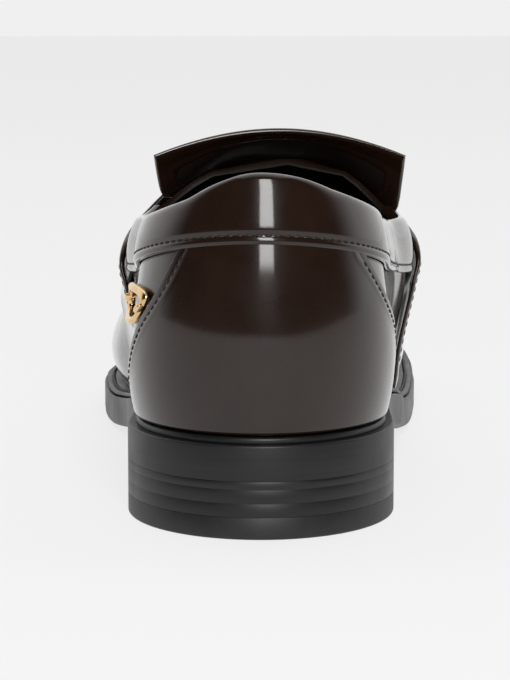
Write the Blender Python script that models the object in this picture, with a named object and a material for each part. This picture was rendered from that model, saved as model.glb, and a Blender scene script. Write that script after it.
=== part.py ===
"""A slip-on tassel loafer for the left foot, built over the surface of its last.

Metres, toe to +Y, inner side of the foot to +X, floor at z = 0.
"""

import math
from collections import namedtuple

import bmesh
import bpy
from mathutils import Vector

# Sole
LENGTH = 0.298
BALL_WIDTH = 0.1015
WAIST_WIDTH = 0.076
HEEL_WIDTH = 0.068
HEEL_ROUND = 0.039
TOE_ROUND = 0.050
HEEL_LENGTH = 0.074
BREAST_HOLLOW = 0.004
HEEL_HEIGHT = 0.0143
TOP_PIECE_THICKNESS = 0.0055
SOLE_THICKNESS = 0.0088
TOE_SPRING = 0.009
WELT_THICKNESS = 0.0013
WELT_SETBACK = 0.0008
HEEL_SETBACK = 0.0022
INSOLE_RISE = 0.0020

# Upper
HEEL_REVEAL = 0.0036
FORE_REVEAL = 0.0062
ARCH_BULGE = 0.009
BACK_HEIGHT = 0.0875
SIDE_HEIGHT = 0.0695
INSTEP_HEIGHT = 0.0855
BALL_HEIGHT = 0.0585
TOE_HEIGHT = 0.044
UPPER_WALL = 0.0018
SEAM_RAISE = 0.0014

# Overlays and trim
COUNTER_THICKNESS = 0.0010
COUNTER_CLEARANCE = 0.00045
COLLAR_THICKNESS = 0.0016
STRAP_THICKNESS = 0.0020
TONGUE_THICKNESS = 0.0018
TONGUE_CLEARANCE = 0.00045
TONGUE_WIDTH = 0.0705
TONGUE_ASIDE = 0.0036
LACE_WIDTH = 0.0045
LACE_THICKNESS = 0.0016
LACE_SPAN = 0.036
KNOT_WIDTH = 0.013
KNOT_LENGTH = 0.011
KNOT_HEIGHT = 0.0048
TASSEL_LENGTH = 0.050
TASSEL_WIDTH = 0.018
TASSEL_HEIGHT = 0.0085
TASSEL_STRIPS = 12
RING_LENGTH = 0.025
RING_HEIGHT = 0.0105
RING_BAR = 0.0021
GAP = 0.0003

TURN = 2 * math.pi

OutlineRow = namedtuple("OutlineRow", "along centre half size")
# Along is a share of the length, centre one of the ball width, and half one of the named size.
OUTLINE = [
    OutlineRow(0.000, 0.000, 0.500, HEEL_WIDTH),
    OutlineRow(0.130, 0.000, 0.500, HEEL_WIDTH),
    OutlineRow(0.250, 0.003, 0.489, HEEL_WIDTH),
    OutlineRow(0.360, 0.008, 0.500, WAIST_WIDTH),
    OutlineRow(0.460, -0.017, 0.402, BALL_WIDTH),
    OutlineRow(0.560, -0.033, 0.458, BALL_WIDTH),
    OutlineRow(0.635, -0.041, 0.485, BALL_WIDTH),
    OutlineRow(0.710, -0.044, 0.499, BALL_WIDTH),
    OutlineRow(0.790, -0.030, 0.487, BALL_WIDTH),
    OutlineRow(0.880, -0.008, 0.440, BALL_WIDTH),
    OutlineRow(0.940, 0.004, 0.402, BALL_WIDTH),
    OutlineRow(1.000, 0.014, 0.364, BALL_WIDTH),
]

BottomRow = namedtuple("BottomRow", "along share size")
# Height of the outsole's underside above the floor
BOTTOM = [
    BottomRow(0.000, 1.00, HEEL_HEIGHT),
    BottomRow(0.262, 1.00, HEEL_HEIGHT),
    BottomRow(0.320, 0.86, HEEL_HEIGHT),
    BottomRow(0.400, 0.52, HEEL_HEIGHT),
    BottomRow(0.480, 0.22, HEEL_HEIGHT),
    BottomRow(0.560, 0.04, HEEL_HEIGHT),
    BottomRow(0.610, 0.00, HEEL_HEIGHT),
    BottomRow(0.730, 0.00, TOE_SPRING),
    BottomRow(0.800, 0.12, TOE_SPRING),
    BottomRow(0.870, 0.36, TOE_SPRING),
    BottomRow(0.940, 0.68, TOE_SPRING),
    BottomRow(1.000, 1.00, TOE_SPRING),
]

RidgeRow = namedtuple("RidgeRow", "along share size aside")
# Height of the last's top line above the floor, and its shift to the inner side as a share of the ball width
RIDGE = [
    RidgeRow(0.070, 1.310, BACK_HEIGHT, 0.026),
    RidgeRow(0.140, 1.320, BACK_HEIGHT, 0.026),
    RidgeRow(0.220, 1.260, INSTEP_HEIGHT, 0.034),
    RidgeRow(0.300, 1.165, INSTEP_HEIGHT, 0.050),
    RidgeRow(0.360, 1.088, INSTEP_HEIGHT, 0.054),
    RidgeRow(0.410, 1.000, INSTEP_HEIGHT, 0.056),
    RidgeRow(0.500, 0.870, INSTEP_HEIGHT, 0.048),
    RidgeRow(0.580, 1.145, BALL_HEIGHT, 0.036),
    RidgeRow(0.660, 1.000, BALL_HEIGHT, 0.030),
    RidgeRow(0.750, 0.865, BALL_HEIGHT, 0.026),
    RidgeRow(0.845, 1.000, TOE_HEIGHT, 0.026),
]

SectionRow = namedtuple("SectionRow", "along outer_fullness inner_fullness outer_bulge inner_bulge swell")
# Fullness squares each half of the section. Bulges are shares of the arch bulge, and swell lifts them.
SECTIONS = [
    SectionRow(0.00, 2.35, 2.35, 0.26, 0.26, 0.50),
    SectionRow(0.13, 2.45, 2.45, 0.28, 0.28, 0.50),
    SectionRow(0.24, 2.90, 2.95, 0.42, 0.50, 0.80),
    SectionRow(0.34, 3.20, 3.40, 0.70, 0.66, 1.15),
    SectionRow(0.44, 2.80, 3.00, 0.52, 0.44, 0.90),
    SectionRow(0.58, 2.30, 2.50, 0.56, 0.40, 0.55),
    SectionRow(0.75, 2.20, 2.25, 0.46, 0.34, 0.50),
    SectionRow(1.00, 2.50, 2.50, 0.26, 0.26, 0.50),
]

ToplineRow = namedtuple("ToplineRow", "along outer inner low size")
# Heights above the floor of the opening's edge on both sides, and of the collar band's lower edge
TOPLINE = [
    ToplineRow(0.000, 1.000, 1.000, 0.812, BACK_HEIGHT),
    ToplineRow(0.010, 0.972, 0.985, 0.804, BACK_HEIGHT),
    ToplineRow(0.035, 0.917, 0.945, 0.785, BACK_HEIGHT),
    ToplineRow(0.100, 0.864, 0.888, 0.738, BACK_HEIGHT),
    ToplineRow(0.190, 1.042, 1.056, 0.855, SIDE_HEIGHT),
    ToplineRow(0.280, 1.008, 1.012, 0.812, SIDE_HEIGHT),
    ToplineRow(0.350, 1.000, 1.000, 0.785, SIDE_HEIGHT),
]

LeanRow = namedtuple("LeanRow", "along top")
# Where a column that starts at a place along the sole meets the last's top line
LEAN = [
    LeanRow(0.000, 0.072),
    LeanRow(0.150, 0.195),
    LeanRow(0.300, 0.315),
    LeanRow(0.400, 0.407),
    LeanRow(0.500, 0.500),
    LeanRow(0.620, 0.605),
    LeanRow(0.750, 0.705),
    LeanRow(0.880, 0.785),
    LeanRow(1.000, 0.845),
]

# Shares of the length where the opening's sides start to close, and where they meet
SIDE_END = 0.350
THROAT = 0.408

# Columns of the meshes, as shares of the length, close together at the ends and round the throat
STATIONS = [0, 0.004, 0.016, 0.036, 0.064, 0.100, 0.145, 0.195, 0.250, 0.305, 0.350, 0.372, 0.392]
STATIONS += [THROAT, 0.440, 0.490, 0.550, 0.610, 0.670, 0.730, 0.790, 0.845, 0.890, 0.928, 0.958]
STATIONS += [0.980, 0.995, 1.0]

# Rows of the upper, as shares of the way from the feather edge to the top, and the row of the apron's seam
ROWS = [0, 0.02, 0.06, 0.13, 0.23, 0.35, 0.47, 0.575, 0.60, 0.625, 0.73, 0.87, 1.0]
SEAM_ROW = 0.60
SEAM_AT_TOE = 0.70
APRON_START = 0.505


def monotone(rows, at):
    """Value at a place on a smooth curve through (place, value) rows, which never passes beyond a row."""
    if at <= rows[0][0]:
        return rows[0][1]
    if at >= rows[-1][0]:
        return rows[-1][1]
    k = 0
    while rows[k + 1][0] < at:
        k += 1
    slopes = []
    for n in (k, k + 1):
        before = slope(rows, n - 1) if n > 0 else slope(rows, n)
        after = slope(rows, n) if n < len(rows) - 1 else before
        slopes.append(2 * before * after / (before + after) if before * after > 0 else 0)
    width = rows[k + 1][0] - rows[k][0]
    s = (at - rows[k][0]) / width
    start = (1 + 2 * s) * (1 - s) ** 2 * rows[k][1] + s * (1 - s) ** 2 * width * slopes[0]
    end = s**2 * (3 - 2 * s) * rows[k + 1][1] + s**2 * (s - 1) * width * slopes[1]
    return start + end


def slope(rows, n):
    return (rows[n + 1][1] - rows[n][1]) / (rows[n + 1][0] - rows[n][0])


def ease(low, high, at):
    """Rises smoothly from 0 at low to 1 at high."""
    share = min(max((at - low) / (high - low), 0), 1)
    return share * share * (3 - 2 * share)


CENTRES = [(row.along, row.centre * BALL_WIDTH) for row in OUTLINE]
HALF_WIDTHS = [(row.along, row.half * row.size) for row in OUTLINE]
UNDERSIDE = [(row.along, row.share * row.size) for row in BOTTOM]
RIDGE_HEIGHTS = [(row.along, row.share * row.size) for row in RIDGE]
RIDGE_ASIDE = [(row.along, row.aside * BALL_WIDTH) for row in RIDGE]
OUTER_FULLNESS = [(row.along, row.outer_fullness) for row in SECTIONS]
INNER_FULLNESS = [(row.along, row.inner_fullness) for row in SECTIONS]
OUTER_BULGE = [(row.along, row.outer_bulge * ARCH_BULGE) for row in SECTIONS]
INNER_BULGE = [(row.along, row.inner_bulge * ARCH_BULGE) for row in SECTIONS]
SWELL = [(row.along, row.swell) for row in SECTIONS]
OUTER_OPENING = [(row.along, row.outer * row.size) for row in TOPLINE]
INNER_OPENING = [(row.along, row.inner * row.size) for row in TOPLINE]
BAND_EDGE = [(row.along, row.low * row.size) for row in TOPLINE]
REVEALS = [(0.0, HEEL_REVEAL), (0.30, HEEL_REVEAL), (0.50, FORE_REVEAL), (1.0, FORE_REVEAL)]
SETBACKS = [(0.0, HEEL_SETBACK), (0.22, HEEL_SETBACK), (0.34, WELT_SETBACK), (1.0, WELT_SETBACK)]


def along_of(angle):
    """Share of the length at an angle round the sole: 0 at the heel's back, pi at the toe."""
    return (1 - math.cos(angle)) / 2


def angle_of(along, side):
    """Angle of a station; side is -1 on the outer half of the shoe and 1 on the inner half."""
    return -side * math.acos(1 - 2 * min(max(along, 0), 1))


def on_outer_side(angle):
    return angle % TURN <= math.pi


def outline(angle):
    """Edge of the outsole in plan."""
    along = along_of(angle)
    y = along * LENGTH
    rounding = 1.0
    if y < HEEL_ROUND:
        rounding = math.sqrt(1 - (1 - y / HEEL_ROUND) ** 2)
    if LENGTH - y < TOE_ROUND:
        rounding = math.sqrt(max(1 - (1 - (LENGTH - y) / TOE_ROUND) ** 2, 0))
    side = -1 if on_outer_side(angle) else 1
    return Vector((monotone(CENTRES, along) + side * rounding * monotone(HALF_WIDTHS, along), y))


def inset_outline(angle, inset):
    """Edge of the outsole moved inwards."""
    reach = 0.01
    step = outline(angle + reach) - outline(angle - reach)
    return outline(angle) - inset * Vector((-step.y, step.x)).normalized()


def underside(y):
    return monotone(UNDERSIDE, y / LENGTH)


def sole_top(y):
    return underside(y) + SOLE_THICKNESS


def feather_height(y):
    """Height of the upper's lower edge, on the welt."""
    return sole_top(y) + GAP + WELT_THICKNESS + GAP


def fullness(angle):
    return monotone(OUTER_FULLNESS if on_outer_side(angle) else INNER_FULLNESS, along_of(angle))


def reveal(angle):
    """How far the outsole reaches past the upper's lower edge."""
    return monotone(REVEALS, along_of(angle))


def last_point(angle, v):
    """Point of the last's surface: v is 0 at the feather edge and 1 on the top line."""
    along = along_of(angle)
    foot = inset_outline(angle, reveal(angle))
    low = feather_height(foot.y)
    top_along = monotone(LEAN, along)
    top = Vector((monotone(RIDGE_ASIDE, top_along), top_along * LENGTH))
    high = monotone(RIDGE_HEIGHTS, top_along)
    power = 2 / fullness(angle)
    turn = v * math.pi / 2
    inward = 1 - max(math.cos(turn), 0) ** power
    rise = math.sin(turn) ** power
    bulges = OUTER_BULGE if on_outer_side(angle) else INNER_BULGE
    bulge = monotone(bulges, along) * math.sin(math.pi * rise ** monotone(SWELL, along)) ** 2
    outward = foot - inset_outline(angle, reveal(angle) + 0.001)
    place = foot.lerp(top, inward) + bulge * outward.normalized()
    return Vector((place.x, place.y, low + (high - low) * rise))


def last_normal(angle, v):
    """Outward direction on the last."""
    if v > 0.98:
        return (slant(angle, 0.96) + slant(-angle, 0.96)).normalized()
    return slant(angle, v)


def slant(angle, v):
    reach = 0.012
    v = min(max(v, 2 * reach), 1 - 2 * reach)
    up = last_point(angle, v + reach) - last_point(angle, v - reach)
    ahead = last_point(angle + reach, v) - last_point(angle - reach, v)
    return up.cross(ahead).normalized()


def skin(angle, v, offset):
    """Point at a distance outside the last."""
    return last_point(angle, v) + offset * last_normal(angle, v)


def height_share(angle, height):
    """The v at which a column of the last reaches a height above the floor."""
    low = last_point(angle, 0).z
    high = last_point(angle, 1).z
    share = min(max((height - low) / (high - low), 0), 1)
    return math.asin(share ** (fullness(angle) / 2)) * 2 / math.pi


def topline_height(angle):
    along = along_of(angle)
    closing = max((along - SIDE_END) / (THROAT - SIDE_END), 0)
    side = monotone(OUTER_OPENING if on_outer_side(angle) else INNER_OPENING, along)
    return side + (last_point(angle, 1).z - side) * closing**3


def topline_share(angle):
    """The v of the opening's edge, or 1 ahead of the throat."""
    if along_of(angle) >= THROAT - 1e-6:
        return 1.0
    return height_share(angle, topline_height(angle))


def on_last(x, y):
    """Angle and v of the point of the last's upper side over a place in plan."""
    along = y / LENGTH
    for _ in range(5):
        side = -1 if x < monotone(RIDGE_ASIDE, along) else 1
        angle = angle_of(along, side)
        low, high = 0.3, 1.0
        for _ in range(18):
            middle = (low + high) / 2
            if side * (last_point(angle, middle).x - x) > 0:
                low = middle
            else:
                high = middle
        along += (y - last_point(angle, low).y) / LENGTH
    return angle, low


def over_last(x, y, offset):
    angle, v = on_last(x, y)
    return skin(angle, v, offset)


def all_angles():
    """Angles of the columns, once round the shoe from the back of the heel."""
    outer = [angle_of(along, -1) for along in STATIONS]
    return outer + [TURN - angle for angle in reversed(outer[1:-1])]


LOOP = all_angles()
EDGE = [outline(angle) for angle in LOOP]
SHIFT = Vector((-(min(p.x for p in EDGE) + max(p.x for p in EDGE)) / 2, -LENGTH / 2, 0))


def finish(name, colour, roughness, metallic=0.0, coat=0.0):
    """Material of one finish."""
    made = bpy.data.materials.new(name)
    made.use_nodes = True
    shader = made.node_tree.nodes["Principled BSDF"]
    shader.inputs["Base Color"].default_value = (*colour, 1)
    shader.inputs["Roughness"].default_value = roughness
    shader.inputs["Metallic"].default_value = metallic
    shader.inputs["Coat Weight"].default_value = coat
    return made


def add_solid(name, corners, faces, material, sharp=math.radians(40)):
    """Object from corners in the last's frame, with its faces turned outwards."""
    bm = bmesh.new()
    made = [bm.verts.new(corner + SHIFT) for corner in corners]
    for face in faces:
        bm.faces.new([made[n] for n in face])
    bmesh.ops.remove_doubles(bm, verts=bm.verts, dist=1e-6)
    bmesh.ops.recalc_face_normals(bm, faces=bm.faces)
    mesh = bpy.data.meshes.new(name)
    bm.to_mesh(mesh)
    bm.free()
    mesh.shade_smooth()
    mesh.set_sharp_from_angle(angle=sharp)
    mesh.materials.append(material)
    solid = bpy.data.objects.new(name, mesh)
    bpy.context.scene.collection.objects.link(solid)
    return solid


def add_sheet(name, across, along, place, material):
    """Thick sheet: place(a, b, side) takes shares of the way, and side is 0 inside and 1 outside."""
    corners = []
    faces = []
    row = along + 1
    layer = (across + 1) * row
    for side in (0, 1):
        for i in range(across + 1):
            corners += [place(i / across, j / along, side) for j in range(row)]
        for i in range(across):
            for j in range(along):
                n = side * layer + i * row + j
                faces.append((n, n + 1, n + row + 1, n + row))
    rim = [i * row for i in range(across)]
    rim += [across * row + j for j in range(along)]
    rim += [i * row + along for i in range(across, 0, -1)]
    rim += list(range(along, 0, -1))
    for n, after in zip(rim, rim[1:] + rim[:1]):
        faces.append((n, after, after + layer, n + layer))
    return add_solid(name, corners, faces, material)


def add_plate(name, inset, bottom, top, material):
    """Plate over the whole plan of the sole, moved inwards by inset(angle)."""
    corners = []
    for angle in LOOP:
        edge = inset_outline(angle, inset(angle))
        corners.append(Vector((edge.x, edge.y, bottom(edge.y))))
        corners.append(Vector((edge.x, edge.y, top(edge.y))))
    count = len(LOOP)
    half = count // 2
    faces = []
    for n in range(count):
        after = (n + 1) % count
        faces.append((2 * n, 2 * after, 2 * after + 1, 2 * n + 1))
    for level in (0, 1):
        faces.append((level, 2 + level, 2 * (count - 1) + level))
        faces.append((2 * half + level, 2 * (half + 1) + level, 2 * (half - 1) + level))
        for n in range(1, half - 1):
            outer = (2 * n + level, 2 * (n + 1) + level)
            inner = (2 * (count - n - 1) + level, 2 * (count - n) + level)
            faces.append(outer + inner)
    return add_solid(name, corners, faces, material)


def add_ring(name, outer_inset, inner_inset, bottom, top, material):
    """Flat ring between two insets of the sole's edge."""
    corners = []
    for angle in LOOP:
        for inset in (outer_inset(angle), inner_inset(angle)):
            edge = inset_outline(angle, inset)
            corners.append(Vector((edge.x, edge.y, bottom(edge.y))))
            corners.append(Vector((edge.x, edge.y, top(edge.y))))
    faces = []
    for n in range(len(LOOP)):
        here = 4 * n
        after = 4 * ((n + 1) % len(LOOP))
        for one, other in ((0, 1), (1, 3), (3, 2), (2, 0)):
            faces.append((here + one, after + one, after + other, here + other))
    return add_solid(name, corners, faces, material)


def add_heel_block(name, bottom, top, material):
    """Block with the outsole's outline at the heel and a hollow breast in front."""
    ends = [angle_of(HEEL_LENGTH / LENGTH, side) for side in (-1, 1)]
    steps = 22
    plan = [outline(ends[1] + (ends[0] - ends[1]) * n / steps) for n in range(steps + 1)]
    breast = 6
    for n in range(1, breast):
        share = n / breast
        point = plan[steps].lerp(plan[0], share)
        plan.append(point - Vector((0, 4 * BREAST_HOLLOW * share * (1 - share))))
    count = len(plan)
    corners = [Vector((p.x, p.y, z)) for z in (bottom, top) for p in plan]
    faces = [tuple(range(count)), tuple(range(count, 2 * count))]
    for n in range(count):
        after = (n + 1) % count
        faces.append((n, after, after + count, n + count))
    return add_solid(name, corners, faces, material)


def add_sole_unit(black, rubber):
    add_heel_block("top_piece", 0, TOP_PIECE_THICKNESS, rubber)
    add_heel_block("heel_stack", TOP_PIECE_THICKNESS + GAP, HEEL_HEIGHT - GAP, black)
    add_plate("outsole", lambda angle: 0, underside, sole_top, black)
    add_ring(
        "welt",
        lambda angle: monotone(SETBACKS, along_of(angle)),
        lambda angle: reveal(angle) + UPPER_WALL + GAP,
        lambda y: sole_top(y) + GAP,
        lambda y: sole_top(y) + GAP + WELT_THICKNESS,
        black,
    )


def add_insole(material):
    return add_plate(
        "insole",
        lambda angle: reveal(angle) + UPPER_WALL + 3 * GAP,
        lambda y: sole_top(y) + GAP,
        lambda y: feather_height(y) + INSOLE_RISE,
        material,
    )


def seam_share(angle):
    """The v of the apron's seam, which lies higher round the toe."""
    return SEAM_ROW + (SEAM_AT_TOE - SEAM_ROW) * ease(0.6, 1.0, along_of(angle))


def row_share(angle, row):
    """The v of a row of the upper: rows shift so that one of them follows the apron's seam."""
    seam = seam_share(angle)
    if row <= SEAM_ROW:
        share = row * seam / SEAM_ROW
    else:
        share = seam + (row - SEAM_ROW) * (1 - seam) / (1 - SEAM_ROW)
    return share * topline_share(angle)


def add_upper(material):
    """One hollow wall, open at the collar and over the insole, with the apron's seam raised on it."""
    corners = []
    rows = len(ROWS)
    count = len(LOOP)
    for side in (0, 1):
        for angle in LOOP:
            raised = SEAM_RAISE * ease(APRON_START, APRON_START + 0.05, along_of(angle))
            for row in ROWS:
                seam = raised if row == SEAM_ROW and side else 0
                offset = seam if side else -UPPER_WALL
                corners.append(skin(angle, row_share(angle, row), offset))
    layer = rows * count
    faces = []
    for n, angle in enumerate(LOOP):
        here = n * rows
        after = (n + 1) % count * rows
        faces.append((here, after, after + layer, here + layer))
        for j in range(rows - 1):
            quad = (here + j, here + j + 1, after + j + 1, after + j)
            faces.append(quad)
            faces.append(tuple(corner + layer for corner in quad))
        if min(topline_share(angle), topline_share(LOOP[(n + 1) % count])) < 1:
            top = rows - 1
            faces.append((here + top, after + top, after + top + layer, here + top + layer))
    return add_solid("upper", corners, faces, material)


CounterEdge = namedtuple("CounterEdge", "height outer inner")
# Front edges of the counter on both sides: share of its height, and shares of the shoe's length
COUNTER_EDGE = [
    CounterEdge(0.00, 0.130, 0.165),
    CounterEdge(0.15, 0.118, 0.154),
    CounterEdge(0.30, 0.100, 0.142),
    CounterEdge(0.50, 0.074, 0.122),
    CounterEdge(0.70, 0.048, 0.090),
    CounterEdge(0.85, 0.036, 0.070),
    CounterEdge(1.00, 0.028, 0.053),
]
COUNTER_OUTER = [(row.height, row.outer) for row in COUNTER_EDGE]
COUNTER_INNER = [(row.height, row.inner) for row in COUNTER_EDGE]


def add_counter(material):
    """Panel round the back of the heel, up to the collar's lower edge."""

    def place(a, b, side):
        inner = angle_of(monotone(COUNTER_INNER, b), 1)
        outer = angle_of(monotone(COUNTER_OUTER, b), -1)
        angle = inner + (outer - inner) * a
        top = monotone(BAND_EDGE, along_of(angle)) - GAP
        low = height_share(angle, last_point(angle, 0).z + COUNTER_CLEARANCE)
        v = low + (height_share(angle, top) - low) * b
        return skin(angle, v, COUNTER_CLEARANCE + side * COUNTER_THICKNESS)

    return add_sheet("counter", 24, 10, place, material)


COLLAR_END = 0.378


def add_collar_band(material):
    """Band round the opening, with both ends under the saddle strap."""
    columns = [along for along in STATIONS if along < COLLAR_END] + [COLLAR_END]
    angles = [angle_of(along, 1) for along in reversed(columns[1:])]
    angles += [angle_of(along, -1) for along in columns]

    def place(a, b, side):
        angle = angles[round(a * (len(angles) - 1))]
        low = monotone(BAND_EDGE, along_of(angle))
        v = height_share(angle, low + (topline_height(angle) - low) * b)
        edge = 0.35 if b in (0, 1) else 1
        return skin(angle, v, GAP + side * edge * COLLAR_THICKNESS)

    return add_sheet("collar_band", len(angles) - 1, 4, place, material)


StrapRow = namedtuple("StrapRow", "v back front lift thickness")
# Edges of the saddle strap as shares of the length, and shares of its full lift and thickness
STRAP = [
    StrapRow(0.00, 0.352, 0.468, 0.44, 0.60),
    StrapRow(0.09, 0.354, 0.470, 0.46, 0.60),
    StrapRow(0.16, 0.356, 0.473, 0.60, 0.64),
    StrapRow(0.21, 0.360, 0.476, 0.96, 0.76),
    StrapRow(0.28, 0.372, 0.480, 1.06, 0.92),
    StrapRow(0.36, 0.395, 0.486, 1.40, 1.0),
    StrapRow(0.46, 0.407, 0.492, 1.20, 1.0),
    StrapRow(0.70, 0.419, 0.504, 1.0, 1.0),
    StrapRow(1.00, 0.424, 0.512, 1.0, 1.0),
]
STRAP_BACK = [(row.v, row.back) for row in STRAP]
STRAP_FRONT = [(row.v, row.front) for row in STRAP]
STRAP_LIFT = [(row.v, row.lift) for row in STRAP]
STRAP_THINNING = [(row.v, row.thickness) for row in STRAP]
STRAP_CLEARANCE = TONGUE_CLEARANCE + max(COLLAR_THICKNESS, TONGUE_THICKNESS) + GAP


def strap_lift(v, b):
    """Height of the strap's underside over the last: b is 0 at its back edge and 1 at its front edge."""
    settled = GAP + (STRAP_CLEARANCE - GAP) * (1 - ease(0.84, 1.0, b))
    return GAP + settled * monotone(STRAP_LIFT, v)


def add_saddle_strap(material):
    """Strap over the instep, from the welt on one side to the welt on the other."""

    def place(a, b, side):
        half = 1 if a >= 0.5 else -1
        v = (1 - abs(2 * a - 1)) ** 1.3
        along = monotone(STRAP_BACK, v) + (monotone(STRAP_FRONT, v) - monotone(STRAP_BACK, v)) * b
        angle = angle_of(along, half)
        lowest = height_share(angle, last_point(angle, 0).z + STRAP_THICKNESS)
        thickness = STRAP_THICKNESS * monotone(STRAP_THINNING, v)
        return skin(angle, max(v, lowest), strap_lift(v, b) + side * thickness)

    return add_sheet("saddle_strap", 32, 4, place, material)


TongueRow = namedtuple("TongueRow", "way along half drop sweep")
# From under the strap to the free edge: share of the length, then shares of the tongue's width
TONGUE = [
    TongueRow(0.00, 0.462, 0.370, 0.200, 0.00),
    TongueRow(0.30, 0.442, 0.375, 0.200, 0.00),
    TongueRow(0.50, 0.426, 0.380, 0.200, 0.00),
    TongueRow(0.66, 0.408, 0.404, 0.200, 0.00),
    TongueRow(0.82, 0.386, 0.474, 0.202, 0.00),
    TongueRow(0.92, 0.373, 0.496, 0.146, 0.02),
    TongueRow(1.00, 0.364, 0.500, 0.100, 0.05),
]
TONGUE_ALONG = [(row.way, row.along) for row in TONGUE]
TONGUE_HALF = [(row.way, row.half) for row in TONGUE]
TONGUE_DROP = [(row.way, row.drop) for row in TONGUE]
TONGUE_SWEEP = [(row.way, row.sweep) for row in TONGUE]


def tongue_middle(a, b):
    """Middle of the tongue's thickness: it lies on the vamp under the strap, and stands free above it."""
    way = monotone(TONGUE_ALONG, b)
    y = way * LENGTH
    x = TONGUE_ASIDE + a * monotone(TONGUE_HALF, b) * TONGUE_WIDTH
    lying = over_last(x, y, TONGUE_CLEARANCE + TONGUE_THICKNESS / 2)
    z = monotone(RIDGE_HEIGHTS, way) + TONGUE_CLEARANCE + TONGUE_THICKNESS / 2
    z -= monotone(TONGUE_DROP, b) * TONGUE_WIDTH * abs(a) ** 2
    free = Vector((x, y - monotone(TONGUE_SWEEP, b) * TONGUE_WIDTH * a * a, z))
    return lying.lerp(free, ease(0.64, 0.92, b))


def add_tongue(material):
    def place(a, b, side):
        reach = 0.02
        a = 2 * a - 1
        low = max(b - reach, 0)
        high = min(b + reach, 1)
        ahead = tongue_middle(a, high) - tongue_middle(a, low)
        across = tongue_middle(min(a + reach, 1), b) - tongue_middle(max(a - reach, -1), b)
        return tongue_middle(a, b) + (side - 0.5) * TONGUE_THICKNESS * ahead.cross(across).normalized()

    return add_sheet("tongue", 16, 9, place, material)


TIE_ALONG = 0.478
STRAP_TOP = GAP + STRAP_CLEARANCE + STRAP_THICKNESS


def tie_centre():
    return Vector((monotone(RIDGE_ASIDE, TIE_ALONG), TIE_ALONG * LENGTH))


def add_lace(material):
    """Flat lace across the strap, under the knot."""
    centre = tie_centre()

    def place(a, b, side):
        x = centre.x + (a - 0.5) * LACE_SPAN
        y = centre.y + (b - 0.5) * LACE_WIDTH
        return over_last(x, y, STRAP_TOP + GAP + side * LACE_THICKNESS)

    return add_sheet("lace", 8, 2, place, material)


def add_knot(material):
    """Rounded knot on the lace."""
    centre = tie_centre()
    base = STRAP_TOP + GAP + LACE_THICKNESS + GAP

    def place(a, b, side):
        p, q = 2 * a - 1, 2 * b - 1
        dome = max(1 - abs(p) ** 2.6, 0) ** 0.5 * max(1 - abs(q) ** 2.6, 0) ** 0.5
        x = centre.x + p * KNOT_WIDTH / 2
        y = centre.y + q * KNOT_LENGTH / 2
        return over_last(x, y, base + side * KNOT_HEIGHT * (0.3 + 0.7 * dome))

    return add_sheet("knot", 6, 6, place, material)


TasselRow = namedtuple("TasselRow", "way width height fringe")
# From the knot to the loose ends: shares of the tassel's length, width and height, and of the fringe's notch
TASSEL = [
    TasselRow(0.00, 0.20, 0.26, 0.0),
    TasselRow(0.17, 0.20, 0.26, 0.0),
    TasselRow(0.20, 0.46, 0.72, 0.0),
    TasselRow(0.34, 0.62, 0.92, 0.0),
    TasselRow(0.38, 0.66, 0.96, 0.0),
    TasselRow(0.40, 0.58, 0.84, 0.6),
    TasselRow(0.58, 0.76, 0.94, 1.0),
    TasselRow(0.80, 0.90, 1.00, 1.0),
    TasselRow(1.00, 1.00, 0.96, 1.0),
]
TASSEL_SPLAY = 0.20
TASSEL_NOTCH = 0.20


def add_tassel(name, side, material):
    """Tassel lying on the vamp: neck, cap and strips, which part from each other and end unevenly."""
    centre = tie_centre()
    start = centre + Vector((side * KNOT_WIDTH * 0.30, KNOT_LENGTH / 2 + GAP))
    strap_front = STRAP[-1].front * LENGTH
    heading = Vector((side * TASSEL_SPLAY, 1)).normalized()
    aside = Vector((heading.y, -heading.x))
    points = 2 * TASSEL_STRIPS
    corners = []
    for row in TASSEL:
        for n in range(points):
            turn = TURN * n / points
            uneven = 0.03 * math.sin(5 * turn + side) if row.way == 1 else 0
            notch = row.fringe * TASSEL_NOTCH if n % 2 else 0
            wide = row.width * TASSEL_WIDTH / 2 * (1 - notch) * math.cos(turn)
            tall = row.height * TASSEL_HEIGHT / 2 * (1 + (1 - notch) * math.sin(turn))
            place = start + heading * (row.way + uneven) * TASSEL_LENGTH + aside * wide
            drop = ease(strap_front + 0.001, strap_front + 0.009, place.y)
            base = STRAP_TOP + GAP + (2 * GAP - STRAP_TOP - GAP) * drop
            corners.append(over_last(place.x, place.y, base + tall))
    faces = [tuple(range(points)), tuple(range(len(corners) - points, len(corners)))]
    for level in range(len(TASSEL) - 1):
        for n in range(points):
            here = level * points + n
            after = level * points + (n + 1) % points
            faces.append((here, after, after + points, here + points))
    return add_solid(name, corners, faces, material)


RING_ALONG = 0.107
RING_MIDDLE_HEIGHT = 0.0535
RING_SLANT = 0.80


def add_ring_ornament(material):
    """Plain long ring on the outer quarter, just ahead of the counter."""
    steps = 24
    corners = []
    for n in range(steps):
        turn = TURN * n / steps
        for inner in (0, 1):
            half_length = RING_LENGTH / 2 - inner * RING_BAR
            half_height = RING_HEIGHT / 2 - inner * RING_BAR
            rise = math.copysign(abs(math.sin(turn)) ** 0.8, math.sin(turn)) * half_height
            reach = math.copysign(abs(math.cos(turn)) ** 0.6, math.cos(turn)) * half_length
            angle = angle_of(RING_ALONG + (reach - RING_SLANT * rise) / LENGTH, -1)
            v = height_share(angle, RING_MIDDLE_HEIGHT + rise)
            corners.append(skin(angle, v, GAP))
            corners.append(skin(angle, v, GAP + RING_BAR))
    faces = []
    for n in range(steps):
        here = 4 * n
        after = 4 * ((n + 1) % steps)
        for one, other in ((0, 1), (1, 3), (3, 2), (2, 0)):
            faces.append((here + one, after + one, after + other, here + other))
    return add_solid("quarter_ring", corners, faces, material)


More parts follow.
